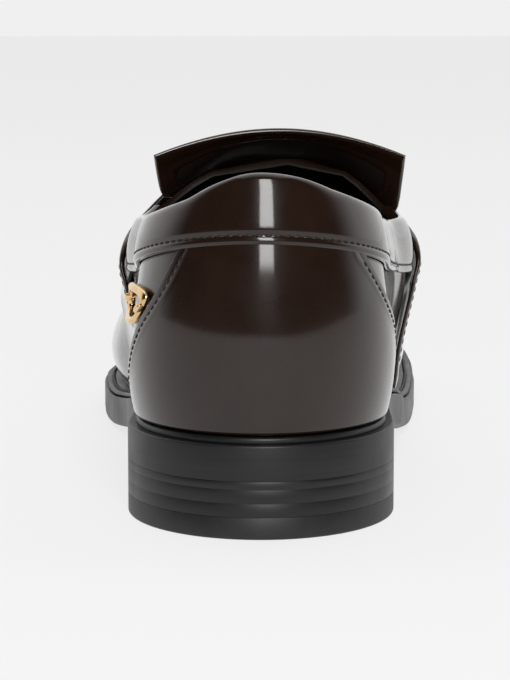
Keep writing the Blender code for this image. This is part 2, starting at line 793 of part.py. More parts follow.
def main():
    for old in list(bpy.data.objects):
        bpy.data.objects.remove(old, do_unlink=True)
    brown = finish("brown_leather", (0.020, 0.010, 0.006), 0.12, coat=1.0)
    lining = finish("lining_leather", (0.030, 0.020, 0.014), 0.55)
    black = finish("black_sole_leather", (0.008, 0.008, 0.009), 0.42)
    rubber = finish("black_rubber", (0.010, 0.010, 0.010), 0.60)
    gold = finish("gold_metal", (0.80, 0.55, 0.28), 0.22, metallic=1.0)
    add_sole_unit(black, rubber)
    add_insole(lining)
    add_upper(brown)
    add_counter(brown)
    add_collar_band(brown)
    add_saddle_strap(brown)
    add_tongue(brown)
    add_lace(brown)
    add_knot(brown)
    add_tassel("tassel_outer", -1, brown)
    add_tassel("tassel_inner", 1, brown)
    add_ring_ornament(gold)


main()
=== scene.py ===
"""Looks of the tassel loafer: leather, folded edges, stitches, lining, sole, heel and trim."""

import math
from collections import namedtuple

import bmesh
import bpy
import numpy as np
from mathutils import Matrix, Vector


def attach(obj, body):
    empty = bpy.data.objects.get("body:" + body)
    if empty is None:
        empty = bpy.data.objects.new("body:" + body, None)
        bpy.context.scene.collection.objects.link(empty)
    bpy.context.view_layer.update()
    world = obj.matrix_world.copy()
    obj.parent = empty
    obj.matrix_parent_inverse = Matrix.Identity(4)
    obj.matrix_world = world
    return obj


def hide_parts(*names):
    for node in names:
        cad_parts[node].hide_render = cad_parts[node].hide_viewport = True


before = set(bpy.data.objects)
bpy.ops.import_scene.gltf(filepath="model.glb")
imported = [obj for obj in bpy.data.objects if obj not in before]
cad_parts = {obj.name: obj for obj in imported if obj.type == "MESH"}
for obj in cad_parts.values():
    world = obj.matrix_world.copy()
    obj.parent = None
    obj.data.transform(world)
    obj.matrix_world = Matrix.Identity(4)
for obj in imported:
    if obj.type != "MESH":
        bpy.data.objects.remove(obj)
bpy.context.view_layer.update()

TURN = 2 * math.pi


def table(names, rows):
    """Rows of values that are read by name."""
    row = namedtuple("row", names)
    return [row(*values) for values in rows]



# Sizes of the last, the sole and the overlays, as in the part's source
LENGTH = 0.298
BALL_WIDTH = 0.1015
WAIST_WIDTH = 0.076
HEEL_WIDTH = 0.068
HEEL_ROUND = 0.039
TOE_ROUND = 0.050
HEEL_LENGTH = 0.074
BREAST_HOLLOW = 0.004
HEEL_HEIGHT = 0.0143
TOP_PIECE_THICKNESS = 0.0055
SOLE_THICKNESS = 0.0088
TOE_SPRING = 0.009
WELT_THICKNESS = 0.0013
WELT_SETBACK = 0.0008
HEEL_SETBACK = 0.0022
INSOLE_RISE = 0.0020
HEEL_REVEAL = 0.0036
FORE_REVEAL = 0.0062
ARCH_BULGE = 0.009
BACK_HEIGHT = 0.0875
SIDE_HEIGHT = 0.0695
INSTEP_HEIGHT = 0.0855
BALL_HEIGHT = 0.0585
TOE_HEIGHT = 0.044
UPPER_WALL = 0.0018
SEAM_RAISE = 0.0014
COUNTER_THICKNESS = 0.0010
COUNTER_CLEARANCE = 0.00045
COLLAR_THICKNESS = 0.0016
STRAP_THICKNESS = 0.0020
TONGUE_THICKNESS = 0.0018
TONGUE_CLEARANCE = 0.00045
TONGUE_WIDTH = 0.0705
TONGUE_ASIDE = 0.0036
LACE_WIDTH = 0.0045
LACE_THICKNESS = 0.0016
LACE_SPAN = 0.036
KNOT_WIDTH = 0.013
KNOT_LENGTH = 0.011
KNOT_HEIGHT = 0.0048
TASSEL_LENGTH = 0.050
TASSEL_WIDTH = 0.018
TASSEL_HEIGHT = 0.0085
RING_LENGTH = 0.025
RING_HEIGHT = 0.0105
RING_BAR = 0.0021
GAP = 0.0003
SIDE_END = 0.350
THROAT = 0.408

# Along is a share of the length, centre one of the ball width, and half one of the named size.
OUTLINE = table("along centre half size", [
    (0.000, 0.000, 0.500, HEEL_WIDTH),
    (0.130, 0.000, 0.500, HEEL_WIDTH),
    (0.250, 0.003, 0.489, HEEL_WIDTH),
    (0.360, 0.008, 0.500, WAIST_WIDTH),
    (0.460, -0.017, 0.402, BALL_WIDTH),
    (0.560, -0.033, 0.458, BALL_WIDTH),
    (0.635, -0.041, 0.485, BALL_WIDTH),
    (0.710, -0.044, 0.499, BALL_WIDTH),
    (0.790, -0.030, 0.487, BALL_WIDTH),
    (0.880, -0.008, 0.440, BALL_WIDTH),
    (0.940, 0.004, 0.402, BALL_WIDTH),
    (1.000, 0.014, 0.364, BALL_WIDTH),
])

# Height of the outsole's underside above the floor
BOTTOM = table("along share size", [
    (0.000, 1.00, HEEL_HEIGHT),
    (0.262, 1.00, HEEL_HEIGHT),
    (0.320, 0.86, HEEL_HEIGHT),
    (0.400, 0.52, HEEL_HEIGHT),
    (0.480, 0.22, HEEL_HEIGHT),
    (0.560, 0.04, HEEL_HEIGHT),
    (0.610, 0.00, HEEL_HEIGHT),
    (0.730, 0.00, TOE_SPRING),
    (0.800, 0.12, TOE_SPRING),
    (0.870, 0.36, TOE_SPRING),
    (0.940, 0.68, TOE_SPRING),
    (1.000, 1.00, TOE_SPRING),
])

# Height of the last's top line above the floor, and its shift to the inner side as a share of the ball width
RIDGE = table("along share size aside", [
    (0.070, 1.310, BACK_HEIGHT, 0.026),
    (0.140, 1.320, BACK_HEIGHT, 0.026),
    (0.220, 1.260, INSTEP_HEIGHT, 0.034),
    (0.300, 1.165, INSTEP_HEIGHT, 0.050),
    (0.360, 1.088, INSTEP_HEIGHT, 0.054),
    (0.410, 1.000, INSTEP_HEIGHT, 0.056),
    (0.500, 0.870, INSTEP_HEIGHT, 0.048),
    (0.580, 1.145, BALL_HEIGHT, 0.036),
    (0.660, 1.000, BALL_HEIGHT, 0.030),
    (0.750, 0.865, BALL_HEIGHT, 0.026),
    (0.845, 1.000, TOE_HEIGHT, 0.026),
])

# Fullness squares each half of the section. Bulges are shares of the arch bulge, and swell lifts them.
SECTIONS = table("along outer_fullness inner_fullness outer_bulge inner_bulge swell", [
    (0.00, 2.35, 2.35, 0.26, 0.26, 0.50),
    (0.13, 2.45, 2.45, 0.28, 0.28, 0.50),
    (0.24, 2.90, 2.95, 0.42, 0.50, 0.80),
    (0.34, 3.20, 3.40, 0.70, 0.66, 1.15),
    (0.44, 2.80, 3.00, 0.52, 0.44, 0.90),
    (0.58, 2.30, 2.50, 0.56, 0.40, 0.55),
    (0.75, 2.20, 2.25, 0.46, 0.34, 0.50),
    (1.00, 2.50, 2.50, 0.26, 0.26, 0.50),
])

# Heights above the floor of the opening's edge on both sides, and of the collar band's lower edge
TOPLINE = table("along outer inner low size", [
    (0.000, 1.000, 1.000, 0.812, BACK_HEIGHT),
    (0.010, 0.972, 0.985, 0.804, BACK_HEIGHT),
    (0.035, 0.917, 0.945, 0.785, BACK_HEIGHT),
    (0.100, 0.864, 0.888, 0.738, BACK_HEIGHT),
    (0.190, 1.042, 1.056, 0.855, SIDE_HEIGHT),
    (0.280, 1.008, 1.012, 0.812, SIDE_HEIGHT),
    (0.350, 1.000, 1.000, 0.785, SIDE_HEIGHT),
])

# Where a column that starts at a place along the sole meets the last's top line
LEAN = table("along top", [
    (0.000, 0.072), (0.150, 0.195), (0.300, 0.315), (0.400, 0.407), (0.500, 0.500), (0.620, 0.605),
    (0.750, 0.705), (0.880, 0.785), (1.000, 0.845),
])


def curve(rows):
    """Smooth function through (place, value) rows, which never passes beyond a row."""
    places, values = np.array(rows, float).T
    rise = np.diff(values) / np.diff(places)
    before, after = rise[:-1], rise[1:]
    turning = before * after <= 0
    mean = 2 * before * after / np.where(turning, 1, before + after)
    slopes = np.concatenate([rise[:1], np.where(turning, 0, mean), rise[-1:]])

    def at(place):
        place = np.clip(place, places[0], places[-1])
        k = np.clip(np.searchsorted(places, place) - 1, 0, len(places) - 2)
        width = places[k + 1] - places[k]
        s = (place - places[k]) / width
        start = (1 + 2 * s) * (1 - s) ** 2 * values[k] + s * (1 - s) ** 2 * width * slopes[k]
        end = s**2 * (3 - 2 * s) * values[k + 1] + s**2 * (s - 1) * width * slopes[k + 1]
        return start + end

    return at


def column(rows, name, size=None):
    """Curve of a named column over the first one, in shares of one size or of the row's own."""
    return curve([(row[0], getattr(row, name) * (size or getattr(row, "size", 1))) for row in rows])


def ease(low, high, at):
    """Rises smoothly from 0 at low to 1 at high."""
    share = np.clip((at - low) / (high - low), 0, 1)
    return share * share * (3 - 2 * share)


def hump(at, middle, reach):
    """Smooth bump of height 1 that fades out at a reach to both sides of its middle."""
    return np.exp(-(((at - middle) / reach) ** 2))


centre_line = column(OUTLINE, "centre", BALL_WIDTH)
half_width = column(OUTLINE, "half")
underside_height = column(BOTTOM, "share")
ridge_height = column(RIDGE, "share")
ridge_aside = column(RIDGE, "aside", BALL_WIDTH)
outer_fullness = column(SECTIONS, "outer_fullness")
inner_fullness = column(SECTIONS, "inner_fullness")
outer_bulge = column(SECTIONS, "outer_bulge", ARCH_BULGE)
inner_bulge = column(SECTIONS, "inner_bulge", ARCH_BULGE)
swell = column(SECTIONS, "swell")
outer_opening = column(TOPLINE, "outer")
inner_opening = column(TOPLINE, "inner")
band_edge = column(TOPLINE, "low")
lean = curve(LEAN)
reveal_at = curve([(0.0, HEEL_REVEAL), (0.30, HEEL_REVEAL), (0.50, FORE_REVEAL), (1.0, FORE_REVEAL)])
setback_at = curve([(0.0, HEEL_SETBACK), (0.22, HEEL_SETBACK), (0.34, WELT_SETBACK), (1.0, WELT_SETBACK)])


def along_of(angle):
    """Share of the length at an angle round the sole: 0 at the heel's back, pi at the toe."""
    return (1 - np.cos(angle)) / 2


def angle_of(along, side):
    """Angle of a place; side is -1 on the outer half of the shoe and 1 on the inner half."""
    return -side * np.arccos(1 - 2 * np.clip(along, 0, 1))


def outer_half(angle):
    return np.mod(angle, TURN) <= math.pi


def outline(angle):
    """Edge of the outsole in plan."""
    along = along_of(angle)
    y = along * LENGTH
    heel = np.sqrt(np.clip(1 - np.clip(1 - y / HEEL_ROUND, 0, 1) ** 2, 0, 1))
    toe = np.sqrt(np.clip(1 - np.clip(1 - (LENGTH - y) / TOE_ROUND, 0, 1) ** 2, 0, 1))
    side = np.where(outer_half(angle), -1, 1)
    return np.stack([centre_line(along) + side * heel * toe * half_width(along), y], -1)


def outline_normal(angle):
    """Outward direction of the sole's edge in plan."""
    reach = 0.01
    step = outline(angle + reach) - outline(angle - reach)
    normal = np.stack([-step[..., 1], step[..., 0]], -1)
    return normal / np.linalg.norm(normal, axis=-1, keepdims=True)


def inset_outline(angle, inset):
    """Edge of the outsole moved inwards."""
    inset = np.asarray(inset)[..., None]
    return outline(angle) - inset * outline_normal(angle)


def underside(y):
    return underside_height(y / LENGTH)


def sole_top(y):
    return underside(y) + SOLE_THICKNESS


def feather_height(y):
    """Height of the upper's lower edge, on the welt."""
    return sole_top(y) + GAP + WELT_THICKNESS + GAP


def fullness(angle):
    along = along_of(angle)
    return np.where(outer_half(angle), outer_fullness(along), inner_fullness(along))


def reveal(angle):
    """How far the outsole reaches past the upper's lower edge."""
    return reveal_at(along_of(angle))


def last_point(angle, v):
    """Points of the last's surface: v is 0 at the feather edge and 1 on the top line."""
    angle, v = np.broadcast_arrays(np.asarray(angle, float), np.asarray(v, float))
    along = along_of(angle)
    foot = inset_outline(angle, reveal(angle))
    low = feather_height(foot[..., 1])
    top_along = lean(along)
    top = np.stack([ridge_aside(top_along), top_along * LENGTH], -1)
    power = 2 / fullness(angle)
    turn = v * math.pi / 2
    inward = 1 - np.clip(np.cos(turn), 0, 1) ** power
    rise = np.clip(np.sin(turn), 0, 1) ** power
    bulge = np.where(outer_half(angle), outer_bulge(along), inner_bulge(along))
    bulge = bulge * np.sin(math.pi * rise ** swell(along)) ** 2
    place = foot + inward[..., None] * (top - foot) + bulge[..., None] * outline_normal(angle)
    return np.concatenate([place, (low + (ridge_height(top_along) - low) * rise)[..., None]], -1)


def unit(vectors):
    return vectors / np.maximum(np.linalg.norm(vectors, axis=-1, keepdims=True), 1e-12)


def slant(angle, v):
    reach = 0.012
    v = np.clip(v, 2 * reach, 1 - 2 * reach)
    up = last_point(angle, v + reach) - last_point(angle, v - reach)
    ahead = last_point(angle + reach, v) - last_point(angle - reach, v)
    return unit(np.cross(up, ahead))


def last_normal(angle, v):
    """Outward direction on the last."""
    angle, v = np.broadcast_arrays(np.asarray(angle, float), np.asarray(v, float))
    top = unit(slant(angle, 0.96) + slant(-angle, 0.96))
    return np.where((v > 0.98)[..., None], top, slant(angle, v))


def skin(angle, v, offset):
    """Points at a distance outside the last."""
    return last_point(angle, v) + np.asarray(offset)[..., None] * last_normal(angle, v)


def height_share(angle, height):
    """The v at which a column of the last reaches a height above the floor."""
    low = last_point(angle, 0.0)[..., 2]
    high = last_point(angle, 1.0)[..., 2]
    share = np.clip((height - low) / (high - low), 0, 1)
    return np.arcsin(share ** (fullness(angle) / 2)) * 2 / math.pi


def topline_height(angle):
    along = along_of(angle)
    closing = np.clip((along - SIDE_END) / (THROAT - SIDE_END), 0, None)
    side = np.where(outer_half(angle), outer_opening(along), inner_opening(along))
    return side + (last_point(angle, 1.0)[..., 2] - side) * closing**3


def topline_share(angle):
    """The v of the opening's edge, or 1 ahead of the throat."""
    opened = height_share(angle, topline_height(angle))
    return np.where(along_of(angle) >= THROAT - 1e-6, 1.0, opened)


def on_last(x, y):
    """Angle and v of the points of the last's upper side over places in plan."""
    along = y / LENGTH
    for _ in range(5):
        side = np.where(x < ridge_aside(along), -1, 1)
        angle = angle_of(along, side)
        low, high = 0.3, 1.0
        for _ in range(18):
            middle = (low + high) / 2
            outside = side * (last_point(angle, middle)[..., 0] - x) > 0
            low = np.where(outside, middle, low)
            high = np.where(outside, high, middle)
        along = along + (y - last_point(angle, low)[..., 1]) / LENGTH
    return angle, low


def over_last(x, y, offset):
    angle, v = on_last(*np.broadcast_arrays(np.asarray(x, float), np.asarray(y, float)))
    return skin(angle, v, offset)


def beside(angle, v, aside):
    """A path on the last moved sideways over it, to the left of its direction as seen from outside."""
    path = last_point(angle, v)
    inward = unit(np.cross(last_normal(angle, v), np.gradient(path, axis=0))) * aside
    reach = 0.002
    round_it = (last_point(angle + reach, v) - last_point(angle - reach, v)) / (2 * reach)
    up_it = (last_point(angle, v + reach) - last_point(angle, v - reach)) / (2 * reach)
    a, b, c = (round_it**2).sum(-1), (round_it * up_it).sum(-1), (up_it**2).sum(-1)
    p, q = (round_it * inward).sum(-1), (up_it * inward).sum(-1)
    det = a * c - b * b
    return angle + (p * c - q * b) / det, v + (q * a - p * b) / det


def nearest(points, path):
    """Distance of each point from a path."""
    gaps = np.linalg.norm(points.reshape(-1, 1, 3) - path.reshape(1, -1, 3), axis=-1)
    return gaps.min(1).reshape(points.shape[:-1])


WHOLE = angle_of(np.linspace(0, 1, 400), -1)
EDGE_X = np.concatenate([outline(WHOLE)[:, 0], outline(-WHOLE)[:, 0]])
SHIFT = np.array([-(EDGE_X.min() + EDGE_X.max()) / 2, -LENGTH / 2, 0])


# Meshes


def add_mesh(name, points, faces, material, slot, replaced=(), sharp=math.radians(50)):
    """Piece of the shoe from points in the last's frame, with its faces turned outwards."""
    bm = bmesh.new()
    made = [bm.verts.new(point) for point in (np.asarray(points) + SHIFT).tolist()]
    for face in faces:
        bm.faces.new([made[n] for n in face])
    bmesh.ops.remove_doubles(bm, verts=bm.verts, dist=2e-7)
    bmesh.ops.dissolve_degenerate(bm, edges=bm.edges, dist=1e-7)
    bmesh.ops.recalc_face_normals(bm, faces=bm.faces)
    mesh = bpy.data.meshes.new(name)
    bm.to_mesh(mesh)
    bm.free()
    mesh.shade_smooth()
    mesh.set_sharp_from_angle(angle=sharp)
    mesh.materials.append(material)
    piece = bpy.data.objects.new(name, mesh)
    bpy.context.scene.collection.objects.link(piece)
    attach(piece, "root")
    if replaced:
        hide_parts(*replaced)
    return piece


def patches(here, after):
    """Four-cornered faces between each row of point numbers and the row after it."""
    return np.stack([here[:, :-1], here[:, 1:], after[:, 1:], after[:, :-1]], -1).reshape(-1, 4).tolist()


def loft(sections, wrap=False):
    """Points and faces of closed outlines joined in a row: sections has one outline a row."""
    count, size = sections.shape[:2]
    n = np.arange(count * size).reshape(count, size)
    closed = np.concatenate([n, n[:, :1]], 1)
    faces = patches(closed, np.roll(closed, -1, axis=0)) if wrap else patches(closed[:-1], closed[1:])
    if not wrap:
        faces += [n[0].tolist(), n[-1].tolist()]
    return sections.reshape(-1, 3), faces


def join(parts):
    """One list of points and faces from several."""
    points, faces, first = [], [], 0
    for some, more in parts:
        points.append(some)
        faces += [[corner + first for corner in face] for face in more]
        first += len(some)
    return np.concatenate(points), faces


def steps(count, length, rim):
    """Shares of the way across a sheet, close together where its edges round off."""
    edge = rim / length * (1 - np.cos(np.linspace(0, math.pi / 2, 6)))
    return np.concatenate([edge[:-1], np.linspace(edge[-1], 1 - edge[-1], count), 1 - edge[:-1][::-1]])


def denser(places, extra):
    """Places across a sheet with more of them near both edges."""
    return np.unique(np.concatenate([places, extra, 1 - extra]))


def sheet(surface, a, b, lengths, thickness):
    """Thick sheet with rounded edges: surface(a, b, side) takes shares of the way, and side is 1 outside."""
    across, up = np.meshgrid(a, b, indexing="ij")
    away = np.minimum(np.minimum(across, 1 - across) * lengths[0], np.minimum(up, 1 - up) * lengths[1])
    short = 1 - np.clip(away / (thickness / 2), 0, 1)
    full = np.sqrt(np.clip(1 - short**2, 0, 1)) / 2
    upper = surface(across, up, 0.5 + full)
    lower = surface(across, up, 0.5 - full)
    rows, columns = across.shape
    n = np.arange(rows * columns).reshape(rows, columns)
    faces = patches(n[:-1], n[1:])
    faces += [[corner + rows * columns for corner in face] for face in faces]
    return np.concatenate([upper.reshape(-1, 3), lower.reshape(-1, 3)]), faces


def thread(lines, normals, radius):
    """Sewn thread lengths: lines holds five points for each, and normals the way out of the leather."""
    sink = np.array([-0.5, 0.55, 0.85, 0.55, -0.5]) * radius
    thick = np.array([0.55, 1.0, 1.0, 1.0, 0.55]) * radius
    lines = lines + sink[:, None] * normals
    tangent = unit(np.gradient(lines, axis=1))
    aside = unit(np.cross(tangent, normals))
    out = np.cross(aside, tangent)
    parts = []
    turn = np.linspace(0, TURN, 7)[:-1]
    for line, side, up in zip(lines, aside, out):
        ring = np.cos(turn)[None, :, None] * side[:, None] + np.sin(turn)[None, :, None] * up[:, None]
        parts.append(loft(line[:, None] + thick[:, None, None] * ring))
    return join(parts)


def stitched(path, normals, pitch, length):
    """Five points and normals for each stitch of a row along a path."""
    run = np.concatenate([[0], np.cumsum(np.linalg.norm(np.diff(path, axis=0), axis=1))])
    count = int(run[-1] / pitch)
    middles = (np.arange(count) + 0.5) * run[-1] / count
    at = middles[:, None] + length * np.array([-0.5, -0.28, 0.0, 0.28, 0.5])
    place = np.stack([np.interp(at, run, path[:, k]) for k in range(3)], -1)
    out = unit(np.stack([np.interp(at, run, normals[:, k]) for k in range(3)], -1))
    return place, out


Sewing = namedtuple("Sewing", "radius pitch length")
WELT_SEWING = Sewing(0.00042, 0.0036, 0.0031)
COUNTER_SEWING = Sewing(0.00017, 0.0022, 0.0018)
COLLAR_SEWING = Sewing(0.00019, 0.0024, 0.0019)
EDGE_SEWING = Sewing(0.00020, 0.0025, 0.0020)


def add_stitches(name, rows, sewing, material, slot):
    parts = [thread(*stitched(*row, sewing.pitch, sewing.length), sewing.radius) for row in rows]
    return add_mesh(name, *join(parts), material, slot)


# Materials


def put(tree, node, values):
    """Sets a node's inputs to values, or joins them to the outputs of other nodes."""
    for name, value in values.items():
        if isinstance(value, bpy.types.NodeSocket):
            tree.links.new(value, node.inputs[name])
        else:
            node.inputs[name].default_value = value


def add_node(tree, kind, values):
    node = tree.nodes.new("ShaderNode" + kind)
    put(tree, node, values)
    return node


def noise(tree, scale, detail, stretch=(1, 1, 1)):
    """Noise over the shoe's own coordinates."""
    place = add_node(tree, "TexCoord", {}).outputs["Object"]
    mapped = add_node(tree, "Mapping", {"Vector": place, "Scale": stretch}).outputs["Vector"]
    return add_node(tree, "TexNoise", {"Vector": mapped, "Scale": scale, "Detail": detail}).outputs["Fac"]


def bump(tree, height, distance, under=None):
    values = {"Height": height, "Distance": distance}
    if under:
        values["Normal"] = under
    return add_node(tree, "Bump", values).outputs["Normal"]


NOISE_LOW = 0.3
NOISE_HIGH = 0.7


def ramp(tree, value, low, high):
    """Colours from low to high as a value rises."""
    node = add_node(tree, "ValToRGB", {"Fac": value})
    for element, position, colour in zip(node.color_ramp.elements, (NOISE_LOW, NOISE_HIGH), (low, high)):
        element.position = position
        element.color = (*colour, 1)
    return node.outputs["Color"]


def span(tree, value, low, high):
    """Numbers from low to high as a value rises."""
    values = {"Value": value, "From Min": NOISE_LOW, "From Max": NOISE_HIGH, "To Min": low, "To Max": high}
    return add_node(tree, "MapRange", values).outputs["Result"]


def polished_leather(tree, dark, light, roughness, coat):
    """Brushed-off leather: mottled brown, fine pores, a slightly wavy surface and a gloss coat."""
    waves = bump(tree, noise(tree, 38, 1), 0.00022)
    return {
        "Base Color": ramp(tree, noise(tree, 55, 3), dark, light),
        "Roughness": span(tree, noise(tree, 160, 2), *roughness),
        "Normal": bump(tree, noise(tree, 1500, 3), 0.000008, waves),
        "Coat Normal": waves,
        "Coat Weight": coat,
        "Coat Roughness": 0.09,
        "Coat IOR": 1.45,
        "Specular IOR Level": 0.12,
    }


def lining_leather(tree, dark, light):
    return {
        "Base Color": ramp(tree, noise(tree, 220, 4), dark, light),
        "Normal": bump(tree, noise(tree, 1400, 4), 0.00004),
        "Roughness": 0.5,
        "Specular IOR Level": 0.3,
    }


def burnished(tree, dark, light, roughness, streak):
    """Waxed sole edge: fine level streaks along it."""
    lines = noise(tree, 40, 4, (0.6, 0.6, 26))
    return {
        "Base Color": ramp(tree, lines, dark, light),
        "Roughness": span(tree, noise(tree, 90, 3), *roughness),
        "Normal": bump(tree, lines, streak),
        "Specular IOR Level": 0.40,
    }


def fine_grained(tree, dark, light, shade, grain, roughness):
    """Rubber or waxed thread: shade and grain are the scale and detail of its noises."""
    return {
        "Base Color": ramp(tree, noise(tree, *shade), dark, light),
        "Normal": bump(tree, noise(tree, *grain), 0.00003),
        "Roughness": roughness,
    }


def polished_gold(tree, dark, light, roughness):
    shade = noise(tree, 240, 2)
    return {
        "Base Color": ramp(tree, shade, dark, light),
        "Roughness": span(tree, shade, *roughness),
        "Metallic": 1.0,
    }


def material(name, look, *values):
    """Material whose shader has the inputs that a look gives."""
    made = bpy.data.materials.new(name)
    made.use_nodes = True
    tree = made.node_tree
    put(tree, tree.nodes["Principled BSDF"], look(tree, *values))
    return made


DARK_BROWN = (0.0125, 0.0058, 0.0034)
LIGHT_BROWN = (0.0195, 0.0092, 0.0054)
RUBBER_GRAIN = ((300, 3), (900, 3), 0.5)
THREAD_GRAIN = ((900, 2), (2600, 2), 0.45)
BROWN = material("brown_gloss", polished_leather, DARK_BROWN, LIGHT_BROWN, (0.24, 0.34), 1.0)
BROWN_SOFT = material("brown_strips", polished_leather, DARK_BROWN, LIGHT_BROWN, (0.30, 0.42), 0.4)
LINING = material("dark_lining", lining_leather, (0.0070, 0.0044, 0.0032), (0.0115, 0.0076, 0.0056))
BLACK = material("black_edge", burnished, (0.0065, 0.0065, 0.0072), (0.0105, 0.0105, 0.0115),
                 (0.36, 0.46), 0.000012)
RUBBER = material("rubber_top", fine_grained, (0.006, 0.006, 0.0066), (0.011, 0.011, 0.012), *RUBBER_GRAIN)
THREAD = material("brown_thread", fine_grained, (0.012, 0.0065, 0.0042), (0.020, 0.0112, 0.0072),
                  *THREAD_GRAIN)
BLACK_THREAD = material("black_thread", fine_grained, (0.006, 0.006, 0.006), (0.014, 0.0135, 0.013),
                        *THREAD_GRAIN)
GOLD = material("pale_gold", polished_gold, (0.72, 0.46, 0.20), (0.88, 0.64, 0.34), (0.16, 0.28))

LEATHER_SLOT = "brown_leather"
LINING_SLOT = "lining_leather"
SOLE_SLOT = "black_sole_leather"
RUBBER_SLOT = "black_rubber"
GOLD_SLOT = "gold_metal"


# Sole


def at_height(plan, height):
    """Points over places in plan."""
    return np.concatenate([plan, np.broadcast_to(height, len(plan))[:, None]], -1)


def ring_sections(profile, angles):
    """Outlines of a closed profile of (inset, height function) rows carried round the sole."""
    rows = []
    for inset, height in profile:
        edge = inset_outline(angles, inset)
        rows.append(at_height(edge, height(edge[:, 1])))
    return np.stack(rows, 1)


SOLE_ANGLES = np.linspace(0, TURN, 241)[:-1]


def add_plate(name, profile, material, slot, replaced):
    """Plate over the sole's plan, with a profile from its top round its edge to its underside."""
    sections = ring_sections(profile, SOLE_ANGLES)
    count, size = sections.shape[:2]
    n = np.arange(count * size).reshape(count, size)
    faces = patches(n, np.roll(n, -1, axis=0))
    half = count // 2
    for level in (0, size - 1):
        for k in range(half):
            across = n[[k, k + 1, (count - k - 1) % count, (count - k) % count], level]
            faces.append(list(dict.fromkeys(across.tolist())))
    return add_mesh(name, sections.reshape(-1, 3), faces, material, slot, replaced)


TOP_ROUND = 0.0006
lower_round = curve([(0.0, 0.0001), (0.25, 0.0001), (0.29, 0.0011), (1.0, 0.0011)])


ROUND_STEPS = np.linspace(0, math.pi / 2, 6)


def rounded(top, bottom, inset, radius):
    """Rows of a rounded edge from the top face to the underside, sharp below where the heel joins it."""
    rows = []
    for turn in ROUND_STEPS:
        inwards = inset + radius * (1 - math.sin(turn))
        rows.append((inwards, lambda y, share=1 - math.cos(turn): top(y) - radius * share))
    low = lower_round(along_of(SOLE_ANGLES))
    for turn in ROUND_STEPS:
        inwards = inset + low * (1 - math.cos(turn))
        share = 1 - math.sin(turn)
        rows.append((inwards, lambda y, share=share: bottom(y) + lower_round(y / LENGTH) * share))
    return rows


def add_outsole():
    rows = [(0.012, sole_top), (0.004, sole_top)] + rounded(sole_top, underside, 0, TOP_ROUND)
    rows += [(0.004, underside), (0.012, underside)]
    add_plate("outsole_black", rows, BLACK, SOLE_SLOT, ["outsole"])


WELT_ROUND = 0.0008
WELT_GROOVE_AT = 0.0022
WELT_GROOVE_REACH = 0.0006
WELT_GROOVE_DEPTH = 0.00035


def add_welt():
    """Narrow strip between upper and outsole, with a groove and a row of stitches on the forefoot."""
    angles = SOLE_ANGLES
    low = lambda y: sole_top(y) + GAP * 0.3
    high = lambda y: sole_top(y) + GAP + WELT_THICKNESS
    setback = setback_at(along_of(angles))
    rows = rounded(high, low, setback, WELT_ROUND)
    inner = [(reveal(angles) + UPPER_WALL, low), (reveal(angles) + UPPER_WALL, high)]
    groove = setback + WELT_GROOVE_AT
    top = [(groove + WELT_GROOVE_REACH, high), (groove, lambda y: high(y) - WELT_GROOVE_DEPTH)]
    top += [(groove - WELT_GROOVE_REACH, high)]
    parts = loft(ring_sections(top + rows + inner, angles), wrap=True)
    add_mesh("welt_strip", *parts, BLACK, SOLE_SLOT, ["welt"])
    paths = []
    for side in (-1, 1):
        run = angle_of(np.linspace(0.33, 0.995, 600), side)
        edge = inset_outline(run, setback_at(along_of(run)) + WELT_GROOVE_AT)
        path = at_height(edge, high(edge[:, 1]) - 0.0001)
        paths.append((path, np.broadcast_to([0.0, 0.0, 1.0], path.shape)))
    add_stitches("welt_stitches", paths, WELT_SEWING, BLACK_THREAD, SOLE_SLOT)


def heel_plan(inset):
    """Plan of the heel block, moved inwards, with its hollow breast in front."""
    ends = [angle_of(HEEL_LENGTH / LENGTH, side) for side in (1, -1)]
    angles = np.linspace(ends[0], ends[1], 91)
    sides = inset_outline(angles, inset)
    share = np.linspace(0, 1, 18)[1:-1, None]
    breast = sides[-1] + (sides[0] - sides[-1]) * share
    hollow = 4 * BREAST_HOLLOW * share * (1 - share)
    breast = breast - np.concatenate([np.zeros(share.shape), hollow], -1)
    sides[:, 1] = np.minimum(sides[:, 1], HEEL_LENGTH - inset)
    breast[:, 1] -= inset
    return np.concatenate([sides, breast])


LIFT = 0.0034
LINE_DEPTH = 0.00004
LINE_FLOOR = 0.00005
LINE_REACH = 0.00014


def add_heel_block(name, bottom, top, radius, lifts, material, slot, replaced):
    """Block of stacked lifts, which show as faint lines round it."""
    rows = [(radius * (1 - math.sin(turn)), bottom + radius * (1 - math.cos(turn))) for turn in ROUND_STEPS]
    for level in lifts:
        rows += [(0, level - LINE_REACH), (LINE_DEPTH, level - LINE_FLOOR)]
        rows += [(LINE_DEPTH, level + LINE_FLOOR), (0, level + LINE_REACH)]
    rows += [(0.0, top - 0.00015), (0.00006, top - 0.00004), (0.0003, top)]
    sections = np.stack([at_height(heel_plan(inset), height) for inset, height in rows])
    add_mesh(name, *loft(sections), material, slot, replaced)


def add_heel():
    add_heel_block("heel_top_lift", 0, TOP_PIECE_THICKNESS, 0.0007, [], RUBBER, RUBBER_SLOT, ["top_piece"])
    low = TOP_PIECE_THICKNESS
    levels = np.arange(low + LIFT, HEEL_HEIGHT - LIFT / 2, LIFT)
    add_heel_block("heel_lifts", low, HEEL_HEIGHT, 0.00012, levels, BLACK, SOLE_SLOT, ["heel_stack"])


# Sock of the insole: inset from its edge, and height above the insole's top
SOCK = [
    (0.030, -0.0006), (0.020, -0.0004), (0.010, 0.0), (0.005, 0.0003), (0.0016, 0.0006), (0.0006, 0.0004),
    (0.0002, -0.0002),
]


